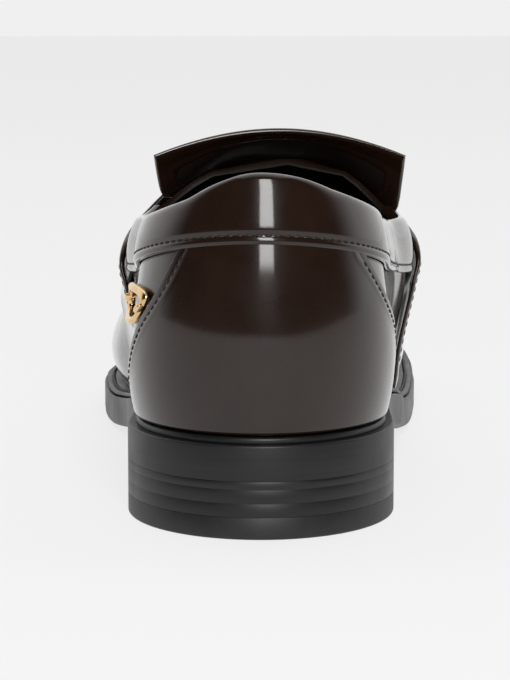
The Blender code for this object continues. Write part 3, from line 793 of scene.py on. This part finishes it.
def add_insole():
    """Insole with a sock of lining leather over it, slightly dished and turned up at its edge."""
    top = lambda y: feather_height(y) + INSOLE_RISE
    clear = UPPER_WALL + 2 * GAP
    edge = reveal(SOLE_ANGLES) + clear
    rows = [(edge + inset, lambda y, rise=rise: top(y) + rise) for inset, rise in SOCK]
    rows += [(edge + inset, lambda y: sole_top(y) + GAP) for inset in (0.0003, 0.020)]
    across = np.linalg.norm(outline(SOLE_ANGLES) - outline(-SOLE_ANGLES), axis=-1)
    limit = np.maximum(across * 0.42, clear + 0.004)
    inner = [(np.minimum(inset, limit), height) for inset, height in rows]
    add_plate("insole_sock", inner, LINING, LINING_SLOT, ["insole"])


# Upper

SEAM_V = 0.60
SEAM_V_AT_TOE = 0.70
APRON_START = 0.505
LEATHER = 0.0010


def seam_share(angle):
    """The v of the apron's seam, which lies higher round the toe."""
    return SEAM_V + (SEAM_V_AT_TOE - SEAM_V) * ease(0.6, 1.0, along_of(angle))


def row_share(angle, row):
    """The v of a row of the upper, placed so that one of them follows the apron's seam."""
    seam = seam_share(angle)
    below = row * seam / SEAM_V
    above = seam + (row - SEAM_V) * (1 - seam) / (1 - SEAM_V)
    return np.where(row <= SEAM_V, below, above) * topline_share(angle)


def seam_height(angle, row):
    """Raised seam of the apron: two lips and the groove between them."""
    present = ease(APRON_START, APRON_START + 0.05, along_of(angle))
    lips = hump(row, SEAM_V - 0.004, 0.009) + 0.9 * hump(row, SEAM_V + 0.010, 0.008)
    groove = hump(row, SEAM_V + 0.0035, 0.0035)
    return present * SEAM_RAISE * np.clip(lips - 0.55 * groove, 0, 1.05)


# Shallow troughs of the leather: two flexes of the vamp, and the draw at the waist and the quarters.
# Along the shoe each has a middle, a shift towards the inner side and a reach, and then a row and its reach.
TROUGHS = table("along aside reach row height depth", [
    (0.600, 0.012, 0.012, 0.78, 0.16, 0.00040),
    (0.655, -0.010, 0.010, 0.74, 0.14, 0.00030),
    (0.300, 0.0, 0.030, 0.45, 0.22, 0.00035),
    (0.225, 0.0, 0.020, 0.62, 0.18, 0.00025),
])


def softness(angle, row):
    """How far the troughs lie below the last's surface, as heights below zero."""
    along = along_of(angle)
    side = np.where(outer_half(angle), -1, 1)
    depth = 0
    for soft in TROUGHS:
        over = hump(along, soft.along + soft.aside * side, soft.reach)
        depth = depth + soft.depth * over * hump(row, soft.row, soft.height)
    return -depth


def upper_angles():
    stations = [0, 0.064, 0.145, 0.250, 0.350, THROAT, 0.490, 0.610, 0.730, 0.845, 0.928, 0.980, 1.0]
    angles = angle_of(np.array(stations), -1)
    outer = np.concatenate([np.linspace(low, high, 12)[:-1] for low, high in zip(angles, angles[1:])])
    return np.concatenate([outer, [math.pi], (TURN - outer[:0:-1])])


# Places of the upper's rows, close together at the apron's seam: from, to and count
UPPER_ROWS = [(0, 0.03, 4), (0.03, 0.565, 24), (0.565, 0.640, 26), (0.640, 0.975, 18), (0.975, 1.0, 4)]


def add_upper():
    """Quarters, vamp and apron of leather, and the lining inside them."""
    angles = upper_angles()
    rows = np.unique(np.concatenate([np.linspace(*run) for run in UPPER_ROWS]))
    columns, levels = np.meshgrid(angles, rows, indexing="ij")
    v = row_share(columns, levels)
    outer = skin(columns, v, seam_height(columns, levels) + softness(columns, levels))
    middle = skin(columns, v, -LEATHER)
    lined = skin(columns, v, -LEATHER - 0.00003)
    inside = skin(columns, v, -UPPER_WALL)
    closed = topline_share(angles) > 0.9999
    count, size = levels.shape
    other = count * size
    n = np.arange(other).reshape(count, size)
    after = np.roll(n, -1, axis=0)
    faces = patches(n, after) + patches(n + other, after + other)
    for k in range(count):
        faces.append((n[k, 0], after[k, 0], after[k, 0] + other, n[k, 0] + other))
        if not (closed[k] and closed[(k + 1) % count]):
            faces.append((n[k, -1], after[k, -1], after[k, -1] + other, n[k, -1] + other))
    for name, out, back, material, slot, replaced in (
        ("upper_leather", outer, middle, BROWN, LEATHER_SLOT, ["upper"]),
        ("upper_lining", lined, inside, LINING, LINING_SLOT, []),
    ):
        points = np.concatenate([out.reshape(-1, 3), back.reshape(-1, 3)])
        add_mesh(name, points, faces, material, slot, replaced)


def add_apron_stitches():
    """Hand-sewn stitches over the apron's raised seam."""
    half = angle_of(np.linspace(APRON_START + 0.02, 1.0, 1500), -1)
    run = np.concatenate([half, TURN - half[-2::-1]])
    middle = skin(run, row_share(run, SEAM_V + 0.002), SEAM_RAISE * 0.92)
    length = np.concatenate([[0], np.cumsum(np.linalg.norm(np.diff(middle, axis=0), axis=1))])
    pitch = 0.0038
    at = np.interp(np.arange(pitch, length[-1], pitch), length, run)
    reach = np.array([-0.024, -0.014, 0.001, 0.016, 0.027])
    row = np.clip(SEAM_V + 0.002 + reach, 0, 1)[None, :] + np.zeros((len(at), 1))
    angle = at[:, None] + 0.004 * np.array([-1, -0.5, 0, 0.5, 1])
    v = row_share(angle, row)
    lines = skin(angle, v, seam_height(angle, row) + 0.0001)
    parts = thread(lines, last_normal(angle, v), 0.00042)
    add_mesh("apron_stitches", *parts, THREAD, LEATHER_SLOT)


# Counter

# Front edges of the counter on both sides: share of its height, and shares of the shoe's length
COUNTER_EDGE = table("height outer inner", [
    (0.00, 0.130, 0.165), (0.15, 0.118, 0.154), (0.30, 0.100, 0.142), (0.50, 0.074, 0.122),
    (0.70, 0.048, 0.090), (0.85, 0.036, 0.070), (1.00, 0.028, 0.053),
])
counter_outer = column(COUNTER_EDGE, "outer")
counter_inner = column(COUNTER_EDGE, "inner")
COUNTER_TUCK = 0.0010
COUNTER_SPAN = 0.105
COUNTER_RISE = 0.052
SEWN_AT = 0.0020
SEWN_RUN = slice(8, 385)


def counter_place(a, b):
    """Angle and v on the counter, with a from its inner edge to its outer and b from the welt up."""
    inner = angle_of(counter_inner(b), 1)
    outer = angle_of(counter_outer(b), -1)
    angle = inner + (outer - inner) * a
    top = band_edge(along_of(angle)) + COUNTER_TUCK
    low = height_share(angle, last_point(angle, 0.0)[..., 2] + COUNTER_CLEARANCE)
    return angle, low + (height_share(angle, top) - low) * b


def add_counter():
    """Panel round the back of the heel, with skived edges and a row of stitches along each."""
    b = np.linspace(0, 1, 400)
    edges = [counter_place(end, b) for end in (0.0, 1.0)]
    fronts = np.concatenate([last_point(*edge) for edge in edges])

    def surface(a, b, side):
        angle, v = counter_place(a, b)
        across = nearest(last_point(angle, v), fronts)
        puff = 0.00006 * hump(across, 0.0034, 0.0007) - 0.00007 * hump(across, SEWN_AT, 0.0004)
        return skin(angle, v, GAP * 0.5 + side * (COUNTER_THICKNESS + COUNTER_CLEARANCE + puff))

    a = steps(90, COUNTER_SPAN, COUNTER_THICKNESS)
    extra = np.linspace(0.0006, 0.0110, 30) / COUNTER_SPAN
    a = denser(a, extra)
    b = steps(60, COUNTER_RISE, COUNTER_THICKNESS)
    points = sheet(surface, a, b, (COUNTER_SPAN, COUNTER_RISE), COUNTER_THICKNESS)
    add_mesh("counter_panel", *points, BROWN, LEATHER_SLOT, ["counter"])
    rows = []
    lift = GAP * 0.5 + COUNTER_THICKNESS + COUNTER_CLEARANCE - 0.00007
    for end, edge in zip((1, -1), edges):
        angle, v = beside(*edge, end * SEWN_AT)
        rows.append((skin(angle, v, lift)[SEWN_RUN], last_normal(angle, v)[SEWN_RUN]))
    add_stitches("counter_stitches", rows, COUNTER_SEWING, THREAD, LEATHER_SLOT)


# Collar band

COLLAR_END = 0.378
# Section of the collar band where it is 16 mm deep, in mm: below the opening's edge, and out from the last
BAND = table("drop out", [
    (16.0, 0.35), (16.1, 1.10), (16.0, 1.70), (15.6, 1.98), (15.0, 2.06), (14.5, 2.00),
    (14.2, 1.84), (13.95, 1.78), (13.7, 1.84), (13.3, 2.02), (12.2, 2.12), (10.5, 2.16),
    (8.0, 2.18), (5.5, 2.14), (3.2, 2.06), (2.2, 1.98), (1.3, 1.86), (0.6, 1.62), (0.1, 1.30),
    (-0.30, 0.85), (-0.50, 0.30), (-0.50, -0.50), (-0.30, -1.15), (0.1, -1.65), (0.7, -2.00),
    (1.6, -2.18), (2.6, -2.14), (2.9, -1.95), (2.6, -1.80), (1.0, -1.70), (0.2, -0.60), (1.0, 0.33),
])


def band_angles():
    end = angle_of(COLLAR_END, 1)
    return np.linspace(end, -end, 200)


def band_point(angle, drop, out):
    """Points of the collar band: beside the upper below the opening's edge, and above it beyond the edge."""
    top = topline_height(angle)
    depth = top - band_edge(along_of(angle))
    drop = drop + (depth - 0.016) * ease(0.0025, 0.013, drop)
    v = height_share(angle, top - np.maximum(drop, 0))
    base = skin(angle, v, out)
    rise = np.maximum(-drop, 0)
    up = unit(last_point(angle, v + 0.01) - last_point(angle, v - 0.01))
    return base + rise[..., None] * up


# Row of stitches on the band, in m: below the opening's edge, out from the last, and above the band's edge
COLLAR_SEWN_DROP = 0.01395
COLLAR_SEWN_OUT = 0.00182
COLLAR_SEWN_RISE = 0.00205


def add_collar_band():
    """Padded band round the opening, folded over its edge, with a row of stitches along its lower edge."""
    angles = band_angles()
    columns, n = np.meshgrid(angles, np.arange(len(BAND)), indexing="ij")
    drop = np.array([row.drop for row in BAND])[n] / 1000
    out = np.array([row.out for row in BAND])[n] / 1000
    sections = band_point(columns, drop, out)
    add_mesh("collar_binding", *loft(sections), BROWN, LEATHER_SLOT, ["collar_band"], math.radians(60))
    run = np.linspace(angles[4], angles[-5], 900)
    path = band_point(run, COLLAR_SEWN_DROP, COLLAR_SEWN_OUT)
    v = height_share(run, band_edge(along_of(run)) + COLLAR_SEWN_RISE)
    row = (path, last_normal(run, v))
    add_stitches("collar_stitches", [row], COLLAR_SEWING, THREAD, LEATHER_SLOT)


# Saddle strap

# Edges of the saddle strap as shares of the length, and shares of its full lift and thickness
STRAP = table("v back front lift thickness", [
    (0.00, 0.352, 0.468, 0.44, 0.60),
    (0.09, 0.354, 0.470, 0.46, 0.60),
    (0.16, 0.356, 0.473, 0.60, 0.64),
    (0.21, 0.360, 0.476, 0.96, 0.76),
    (0.28, 0.372, 0.480, 1.06, 0.92),
    (0.36, 0.395, 0.486, 1.40, 1.0),
    (0.46, 0.407, 0.492, 1.20, 1.0),
    (0.70, 0.419, 0.504, 1.0, 1.0),
    (1.00, 0.424, 0.512, 1.0, 1.0),
])
strap_back = column(STRAP, "back")
strap_front = column(STRAP, "front")
strap_rise = column(STRAP, "lift")
strap_thinning = column(STRAP, "thickness")
STRAP_CLEARANCE = TONGUE_CLEARANCE + max(COLLAR_THICKNESS, TONGUE_THICKNESS) + GAP
STRAP_SPAN = 0.190
STRAP_BREADTH = 0.028
STRAP_SEWN_AT = 0.0022


def strap_place(a, b):
    """Angle, v, height and thickness of the strap: a runs from welt to welt, b from back edge to front."""
    half = np.where(a >= 0.5, 1, -1)
    v = (1 - np.abs(2 * a - 1)) ** 1.3
    along = strap_back(v) + (strap_front(v) - strap_back(v)) * b
    angle = angle_of(along, half)
    lowest = height_share(angle, last_point(angle, 0.0)[..., 2] + 0.0004)
    settled = GAP + (STRAP_CLEARANCE - GAP) * (1 - ease(0.84, 1.0, b))
    thickness = STRAP_THICKNESS * strap_thinning(v)
    return angle, np.maximum(v, lowest), GAP + settled * strap_rise(v), thickness


def add_saddle_strap():
    """Strap over the instep, with rounded edges and a row of stitches along each."""

    def surface(a, b, side):
        angle, v, base, thickness = strap_place(a, b)
        edge = np.minimum(b, 1 - b) * STRAP_BREADTH
        puff = 0.00010 * hump(edge, 0.0040, 0.0012) - 0.00012 * hump(edge, STRAP_SEWN_AT, 0.0005)
        return skin(angle, v, base + side * (thickness + puff))

    a = np.linspace(0, 1, 121)
    near = np.linspace(0.0014, 0.0048, 12) / STRAP_BREADTH
    b = denser(steps(20, STRAP_BREADTH, STRAP_THICKNESS / 2), near)
    points = sheet(surface, a, b, (STRAP_SPAN, STRAP_BREADTH), STRAP_THICKNESS)
    add_mesh("strap_leather", *points, BROWN, LEATHER_SLOT, ["saddle_strap"])
    rows = []
    a = np.linspace(0.02, 0.98, 900)
    for share in (STRAP_SEWN_AT / STRAP_BREADTH, 1 - STRAP_SEWN_AT / STRAP_BREADTH):
        angle, v, base, thickness = strap_place(a, share)
        rows.append((skin(angle, v, base + thickness - 0.00011), last_normal(angle, v)))
    add_stitches("strap_stitches", rows, EDGE_SEWING, THREAD, LEATHER_SLOT)


# Tongue

# From under the strap to the free edge: share of the length, then shares of the tongue's width
TONGUE = table("way along half drop sweep", [
    (0.00, 0.462, 0.370, 0.200, 0.00),
    (0.30, 0.442, 0.375, 0.200, 0.00),
    (0.50, 0.426, 0.380, 0.200, 0.00),
    (0.66, 0.408, 0.404, 0.200, 0.00),
    (0.82, 0.386, 0.474, 0.202, 0.00),
    (0.92, 0.373, 0.496, 0.146, 0.02),
    (1.00, 0.364, 0.500, 0.100, 0.05),
])
tongue_along = column(TONGUE, "along")
tongue_half = column(TONGUE, "half")
tongue_drop = column(TONGUE, "drop")
tongue_sweep = column(TONGUE, "sweep")
TONGUE_RUN = 0.038
HEM = 0.0042


def tongue_middle(a, b):
    """Middle of the tongue's thickness: it lies on the vamp under the strap, and stands free above it."""
    way = tongue_along(b)
    y = way * LENGTH
    x = TONGUE_ASIDE + a * tongue_half(b) * TONGUE_WIDTH
    lying = over_last(x, y, TONGUE_CLEARANCE + TONGUE_THICKNESS / 2)
    z = ridge_height(way) + TONGUE_CLEARANCE + TONGUE_THICKNESS / 2
    z = z - tongue_drop(b) * TONGUE_WIDTH * np.abs(a) ** 2
    free = np.stack([x, y - tongue_sweep(b) * TONGUE_WIDTH * a * a, z], -1)
    return lying + ease(0.64, 0.92, b)[..., None] * (free - lying)


def tongue_surface(a, b, side, thickness):
    reach = 0.02
    a = 2 * a - 1
    low, high = np.maximum(b - reach, 0), np.minimum(b + reach, 1)
    ahead = tongue_middle(a, high) - tongue_middle(a, low)
    left, right = np.maximum(a - reach, -1), np.minimum(a + reach, 1)
    across = tongue_middle(right, b) - tongue_middle(left, b)
    normal = unit(np.cross(ahead, across))
    return tongue_middle(a, b) + np.asarray((side - 0.5) * thickness)[..., None] * normal, normal


def add_tongue():
    """Tongue of leather, folded over to a hem round its lining, with a row of stitches along the hem."""

    def surface(a, b, side):
        side_edge = np.minimum(a, 1 - a) * TONGUE_WIDTH
        end_edge = (1 - b) * TONGUE_RUN
        edge = np.minimum(side_edge, end_edge)
        inner = (side < 0.5) * ease(HEM, HEM + 0.0007, edge) * 0.00045
        groove = 0.00012 * hump(edge, HEM - 0.0012, 0.0004)
        return tongue_surface(a, b, side, TONGUE_THICKNESS - 2 * inner - 2 * groove)[0]

    near = np.concatenate([np.linspace(0.0009, HEM - 0.0004, 8), np.linspace(HEM - 0.0002, HEM + 0.0010, 6)])
    a = denser(steps(44, TONGUE_WIDTH, TONGUE_THICKNESS / 2), near / TONGUE_WIDTH)
    b = np.unique(np.concatenate([steps(30, TONGUE_RUN, TONGUE_THICKNESS / 2), 1 - near / TONGUE_RUN]))
    points = sheet(surface, a, b, (TONGUE_WIDTH, TONGUE_RUN), TONGUE_THICKNESS)
    add_mesh("tongue_leather", *points, BROWN, LEATHER_SLOT, ["tongue"])

    inset = HEM + 0.0003
    thin = 0.0004

    def lining(a, b, side):
        a = inset / TONGUE_WIDTH + a * (1 - 2 * inset / TONGUE_WIDTH)
        b = b * (1 - inset / TONGUE_RUN)
        middle, normal = tongue_surface(a, b, 0, TONGUE_THICKNESS)
        return middle + (0.00048 - (1 - side) * thin)[..., None] * normal

    points = sheet(lining, np.linspace(0, 1, 40), np.linspace(0, 1, 30), (TONGUE_WIDTH, TONGUE_RUN), thin)
    add_mesh("tongue_lining", *points, LINING, LINING_SLOT)
    line = HEM - 0.0012
    run = np.linspace(0.45, 1 - line / TONGUE_RUN, 120)
    over = np.linspace(line / TONGUE_WIDTH, 1 - line / TONGUE_WIDTH, 200)
    start = np.full(run.shape, line / TONGUE_WIDTH)
    a = np.concatenate([start, over[1:-1], 1 - start])
    b = np.concatenate([run, np.full(len(over) - 2, run[-1]), run[::-1]])
    path, normal = tongue_surface(a, b, 1, TONGUE_THICKNESS - 0.0003)
    add_stitches("tongue_stitches", [(path, normal)], EDGE_SEWING, THREAD, LEATHER_SLOT)


# Lace, knot and tassels

TIE_ALONG = 0.478
STRAP_TOP = GAP + STRAP_CLEARANCE + STRAP_THICKNESS


def tie_centre():
    return np.array([float(ridge_aside(TIE_ALONG)), TIE_ALONG * LENGTH])


def add_lace():
    """Flat lace over the strap, which passes through a slot near each end."""
    centre = tie_centre()

    def surface(a, b, side):
        dip = ease(0.42, 0.5, np.abs(a - 0.5)) * 0.0012
        x = centre[0] + (a - 0.5) * LACE_SPAN
        y = centre[1] + (b - 0.5) * LACE_WIDTH
        return over_last(x, y, STRAP_TOP + GAP * 0.3 + side * LACE_THICKNESS - dip)

    a = steps(40, LACE_SPAN, LACE_THICKNESS / 2)
    b = steps(8, LACE_WIDTH, LACE_THICKNESS / 2)
    points = sheet(surface, a, b, (LACE_SPAN, LACE_WIDTH), LACE_THICKNESS)
    add_mesh("lace_strip", *points, BROWN_SOFT, LEATHER_SLOT, ["lace"])


def signed_power(value, exponent):
    return np.sign(value) * np.abs(value) ** exponent


def strip(path, up, widths, thickness):
    """Flat strip with rounded sides along a path; up is the way out of its face."""
    tangent = unit(np.gradient(path, axis=0))
    aside = unit(np.cross(tangent, up))
    out = np.cross(aside, tangent)
    turn = np.linspace(0, TURN, 13)[:-1]
    flat = signed_power(np.cos(turn), 0.55)
    tall = signed_power(np.sin(turn), 0.8)
    sections = path[:, None] + (widths[:, None] / 2 * flat)[..., None] * aside[:, None]
    sections = sections + (thickness / 2 * tall)[None, :, None] * out[:, None]
    return loft(sections)


WRAP_THICKNESS = 0.0015
# Turns of the lace round the knot: place along it, width, and share of the knot's height
WRAPS = [(-0.31, 0.0042, 0.72), (0.0, 0.0046, 1.0), (0.31, 0.0042, 0.72)]


def add_knot():
    """Knot of the lace: a domed core wrapped by three turns of the lace."""
    centre = tie_centre()
    base = STRAP_TOP + GAP + LACE_THICKNESS
    parts = []
    turn = np.linspace(0, math.pi, 26)
    for share, width, lift in WRAPS:
        x = centre[0] - np.cos(turn) * KNOT_WIDTH / 2
        y = centre[1] + share * KNOT_LENGTH + 0.0012 * np.cos(turn)
        height = base + 0.0004 + np.sin(turn) ** 0.7 * (KNOT_HEIGHT - 0.0008) * lift
        path = over_last(x, y, height)
        up = unit(path - over_last(centre[0], centre[1] + share * KNOT_LENGTH, base - 0.004))
        parts.append(strip(path, up, np.full(len(turn), width), WRAP_THICKNESS))

    def core(a, b, side):
        p, q = 2 * a - 1, 2 * b - 1
        dome = np.clip(1 - np.abs(p) ** 2.6, 0, 1) ** 0.5 * np.clip(1 - np.abs(q) ** 2.6, 0, 1) ** 0.5
        x = centre[0] + p * KNOT_WIDTH / 2 * 0.92
        y = centre[1] + q * KNOT_LENGTH / 2 * 0.92
        return over_last(x, y, base + side * KNOT_HEIGHT * (0.15 + 0.62 * dome))

    parts.append(sheet(core, np.linspace(0, 1, 16), np.linspace(0, 1, 16), (KNOT_WIDTH, KNOT_LENGTH), 0.001))
    add_mesh("knot_wraps", *join(parts), BROWN_SOFT, LEATHER_SLOT, ["knot"])


TASSEL_SPLAY = 0.20
CAP_START = 0.19
CAP_END = 0.39
# Height and number of the strips in each layer
STRIP_LAYERS = [(0.20, 8), (0.50, 9), (0.76, 7)]
STRIP_WIDTH = 0.0024
STRIP_THICKNESS = 0.0009


def tassel_base(y):
    """Height over the last of what a tassel lies on: the strap, and then the vamp in front of it."""
    front = STRAP[-1].front * LENGTH
    drop = ease(front + 0.001, front + 0.009, y)
    return STRAP_TOP + GAP + (2 * GAP - STRAP_TOP - GAP) * drop


def add_tassel(name, side, node):
    """Tassel lying on the vamp: twisted neck, wrapped cap and three layers of loose strips."""
    centre = tie_centre()
    start = centre + np.array([side * KNOT_WIDTH * 0.30, KNOT_LENGTH / 2 + GAP])
    heading = np.array([side * TASSEL_SPLAY, 1.0]) / math.hypot(TASSEL_SPLAY, 1)
    aside = np.array([heading[1], -heading[0]])

    def place(way, wide, tall):
        plan = start + heading * (way * TASSEL_LENGTH)[..., None] + aside * wide[..., None]
        return over_last(plan[..., 0], plan[..., 1], tassel_base(plan[..., 1]) + tall)

    def body(ways, widths, heights):
        turn = np.linspace(0, TURN, 33)[:-1]
        way = ways[:, None] + np.zeros(turn.shape)
        wide = widths[:, None] / 2 * np.cos(turn)
        tall = heights[:, None] / 2 * (1 + np.sin(turn))
        return loft(place(way, wide, tall))

    ways = np.linspace(-0.03, CAP_START + 0.01, 26)
    twist = 0.10 * np.sin(ways * 190)
    parts = [body(ways, TASSEL_WIDTH * (0.20 + 0.06 * twist), TASSEL_HEIGHT * (0.28 + 0.3 * twist))]
    share = np.linspace(0, 1, 34)
    shoulder = np.sqrt(np.clip(1 - (1 - np.clip(share / 0.22, 0, 1)) ** 2, 0.03, 1))
    bands = 1 + 0.055 * np.abs(np.sin(share * math.pi * 3)) ** 0.5 - 0.03
    foot = 1 - 0.25 * ease(0.93, 1.0, share)
    width = TASSEL_WIDTH * (0.44 + 0.20 * share) * shoulder * bands * foot
    height = TASSEL_HEIGHT * (0.66 + 0.30 * share) * shoulder * bands * foot
    parts.append(body(CAP_START + (CAP_END - CAP_START) * share, width, height))
    for layer, (level, count) in enumerate(STRIP_LAYERS):
        for k in range(count):
            across = (k + 0.5) / count * 2 - 1
            uneven = 0.030 * math.sin(7.3 * k + 2.1 * layer + side)
            way = np.linspace(CAP_END - 0.03, 1.0 + uneven, 22)
            share = (way - way[0]) / (way[-1] - way[0])
            spread = 0.27 + 0.17 * share**0.9
            wave = 0.010 * np.sin(share * (3.0 + 0.5 * math.sin(k * 2.7)) + k * 1.9 + layer) * share
            wide = TASSEL_WIDTH * (across * spread + wave)
            arch = 1 - 0.35 * across**2
            rise = level * arch + 0.03 * math.sin(k * 4.1 + layer) * share
            tall = TASSEL_HEIGHT * rise * (0.80 + 0.22 * np.sin(share * math.pi * 0.6)) + 0.0004
            path = place(way, wide, tall)
            above = place(way, wide, tall + 0.001)
            tilt = 0.35 * math.sin(k * 5.3 + layer * 1.7)
            up = unit(above - path)
            tangent = unit(np.gradient(path, axis=0))
            up = up * math.cos(tilt) + np.cross(tangent, up) * math.sin(tilt)
            parts.append(strip(path, up, STRIP_WIDTH * (0.86 + 0.18 * share), STRIP_THICKNESS))
    add_mesh(name, *join(parts), BROWN_SOFT, LEATHER_SLOT, [node])


# Ring ornament

RING_ALONG = 0.107
RING_MIDDLE_HEIGHT = 0.0535
RING_SLANT = 0.80
RIVET_RADIUS = 0.0012


def add_ring_ornament():
    """Plain long ring of round bar on the outer quarter, with a small rivet at each end."""
    turn = np.linspace(0, TURN, 97)[:-1]
    around = np.linspace(0, TURN, 17)[:-1]
    bar = RING_BAR / 2
    rise = signed_power(np.sin(turn), 0.8)
    reach = signed_power(np.cos(turn), 0.6)
    half_length = RING_LENGTH / 2 - bar + bar * np.cos(around)[None, :]
    half_height = RING_HEIGHT / 2 - bar + bar * np.cos(around)[None, :]
    rise = rise[:, None] * half_height
    reach = reach[:, None] * half_length
    out = GAP * 0.4 + bar + bar * np.sin(around)[None, :] + np.zeros(rise.shape)
    angle = angle_of(RING_ALONG + (reach - RING_SLANT * rise) / LENGTH, -1)
    v = height_share(angle, RING_MIDDLE_HEIGHT + rise)
    parts = [loft(skin(angle, v, out), wrap=True)]
    for end in (-1, 1):
        level = np.linspace(0, math.pi / 2, 8)
        radius = RIVET_RADIUS * np.cos(level)[:, None]
        height = GAP * 0.4 + 0.0024 + 0.0006 * np.sin(level)[:, None] + np.zeros(around.shape)
        base_radius = np.concatenate([[[RIVET_RADIUS]], radius])
        height = np.concatenate([np.full((1, len(around)), 0.0), height])
        place = end * (RING_LENGTH / 2 - bar) + base_radius * np.cos(around)[None, :]
        up = base_radius * np.sin(around)[None, :]
        angle = angle_of(RING_ALONG + (place - RING_SLANT * up) / LENGTH, -1)
        v = height_share(angle, RING_MIDDLE_HEIGHT + up)
        parts.append(loft(skin(angle, v, height)))
    add_mesh("plain_ring", *join(parts), GOLD, GOLD_SLOT, ["quarter_ring"])


# Stage, lights and camera

PAPER = 0.87
FLOOR_SHADE = 0.16
FLOOR_GLOW = 0.76
ROOM_DARK = 0.015
ROOM_PALE = 0.95


def pale_floor(tree):
    return {
        "Base Color": (FLOOR_SHADE, FLOOR_SHADE, FLOOR_SHADE, 1),
        "Roughness": 1.0,
        "Specular IOR Level": 0.0,
        "Emission Color": (1, 1, 1, 1),
        "Emission Strength": FLOOR_GLOW,
    }


def add_floor():
    """Plain pale floor under the shoe, which glows faintly like lit paper."""
    mesh = bpy.data.meshes.new("floor")
    corners = [(-9, -1.6, 0), (9, -1.6, 0), (9, 40, 0), (-9, 40, 0)]
    mesh.from_pydata(corners, [], [(0, 1, 2, 3)])
    mesh.materials.append(material("pale_floor", pale_floor))
    floor = bpy.data.objects.new("floor", mesh)
    bpy.context.scene.collection.objects.link(floor)


def add_world():
    """Pale room, darker behind the camera."""
    world = bpy.data.worlds.new("studio")
    bpy.context.scene.world = world
    world.use_nodes = True
    tree = world.node_tree
    place = add_node(tree, "TexCoord", {}).outputs["Generated"]
    ahead = add_node(tree, "SeparateXYZ", {"Vector": place}).outputs["Y"]
    values = {"Value": ahead, "From Min": -0.10, "From Max": 0.45, "To Min": ROOM_DARK, "To Max": ROOM_PALE}
    shade = add_node(tree, "MapRange", values)
    shade.interpolation_type = "SMOOTHSTEP"
    seen = add_node(tree, "LightPath", {}).outputs["Is Camera Ray"]
    strength = add_node(tree, "Mix", {"Factor": seen, "A": shade.outputs["Result"], "B": PAPER})
    put(tree, tree.nodes["Background"], {"Strength": strength.outputs["Result"], "Color": (1, 1, 1, 1)})


def aim(thing, place, target):
    """Puts a lamp or the camera at its place, turned to its target."""
    thing.location = place
    thing.rotation_euler = (Vector(target) - Vector(place)).to_track_quat("-Z", "Y").to_euler()
    bpy.context.scene.collection.objects.link(thing)


def add_light(name, place, target, size, watts):
    light = bpy.data.lights.new(name, "AREA")
    light.shape = "RECTANGLE"
    light.size, light.size_y = size
    light.energy = watts
    aim(bpy.data.objects.new(name, light), place, target)


def add_lights():
    add_light("window", (0.17, -1.35, 0.72), (0, -0.12, 0.06), (0.40, 1.0), 15)
    add_light("overhead", (0.0, 0.2, 2.4), (0, 0, 0), (2.4, 2.4), 14)


CAMERA_PLACE = (0.0182, -0.701, 0.122)
CAMERA_TARGET = (0.0036, -0.140, 0.0475)
CAMERA_LENS = 124


def add_camera():
    data = bpy.data.cameras.new("camera")
    data.lens = CAMERA_LENS
    data.sensor_width = 36
    camera = bpy.data.objects.new("camera", data)
    aim(camera, CAMERA_PLACE, CAMERA_TARGET)
    bpy.context.scene.camera = camera


add_camera()
add_outsole()
add_welt()
add_heel()
add_insole()
add_upper()
add_apron_stitches()
add_counter()
add_collar_band()
add_saddle_strap()
add_tongue()
add_lace()
add_knot()
add_tassel("tassel_outer_strips", -1, "tassel_outer")
add_tassel("tassel_inner_strips", 1, "tassel_inner")
add_ring_ornament()
add_floor()
add_world()
add_lights()
bpy.context.scene.view_settings.view_transform = "Standard"
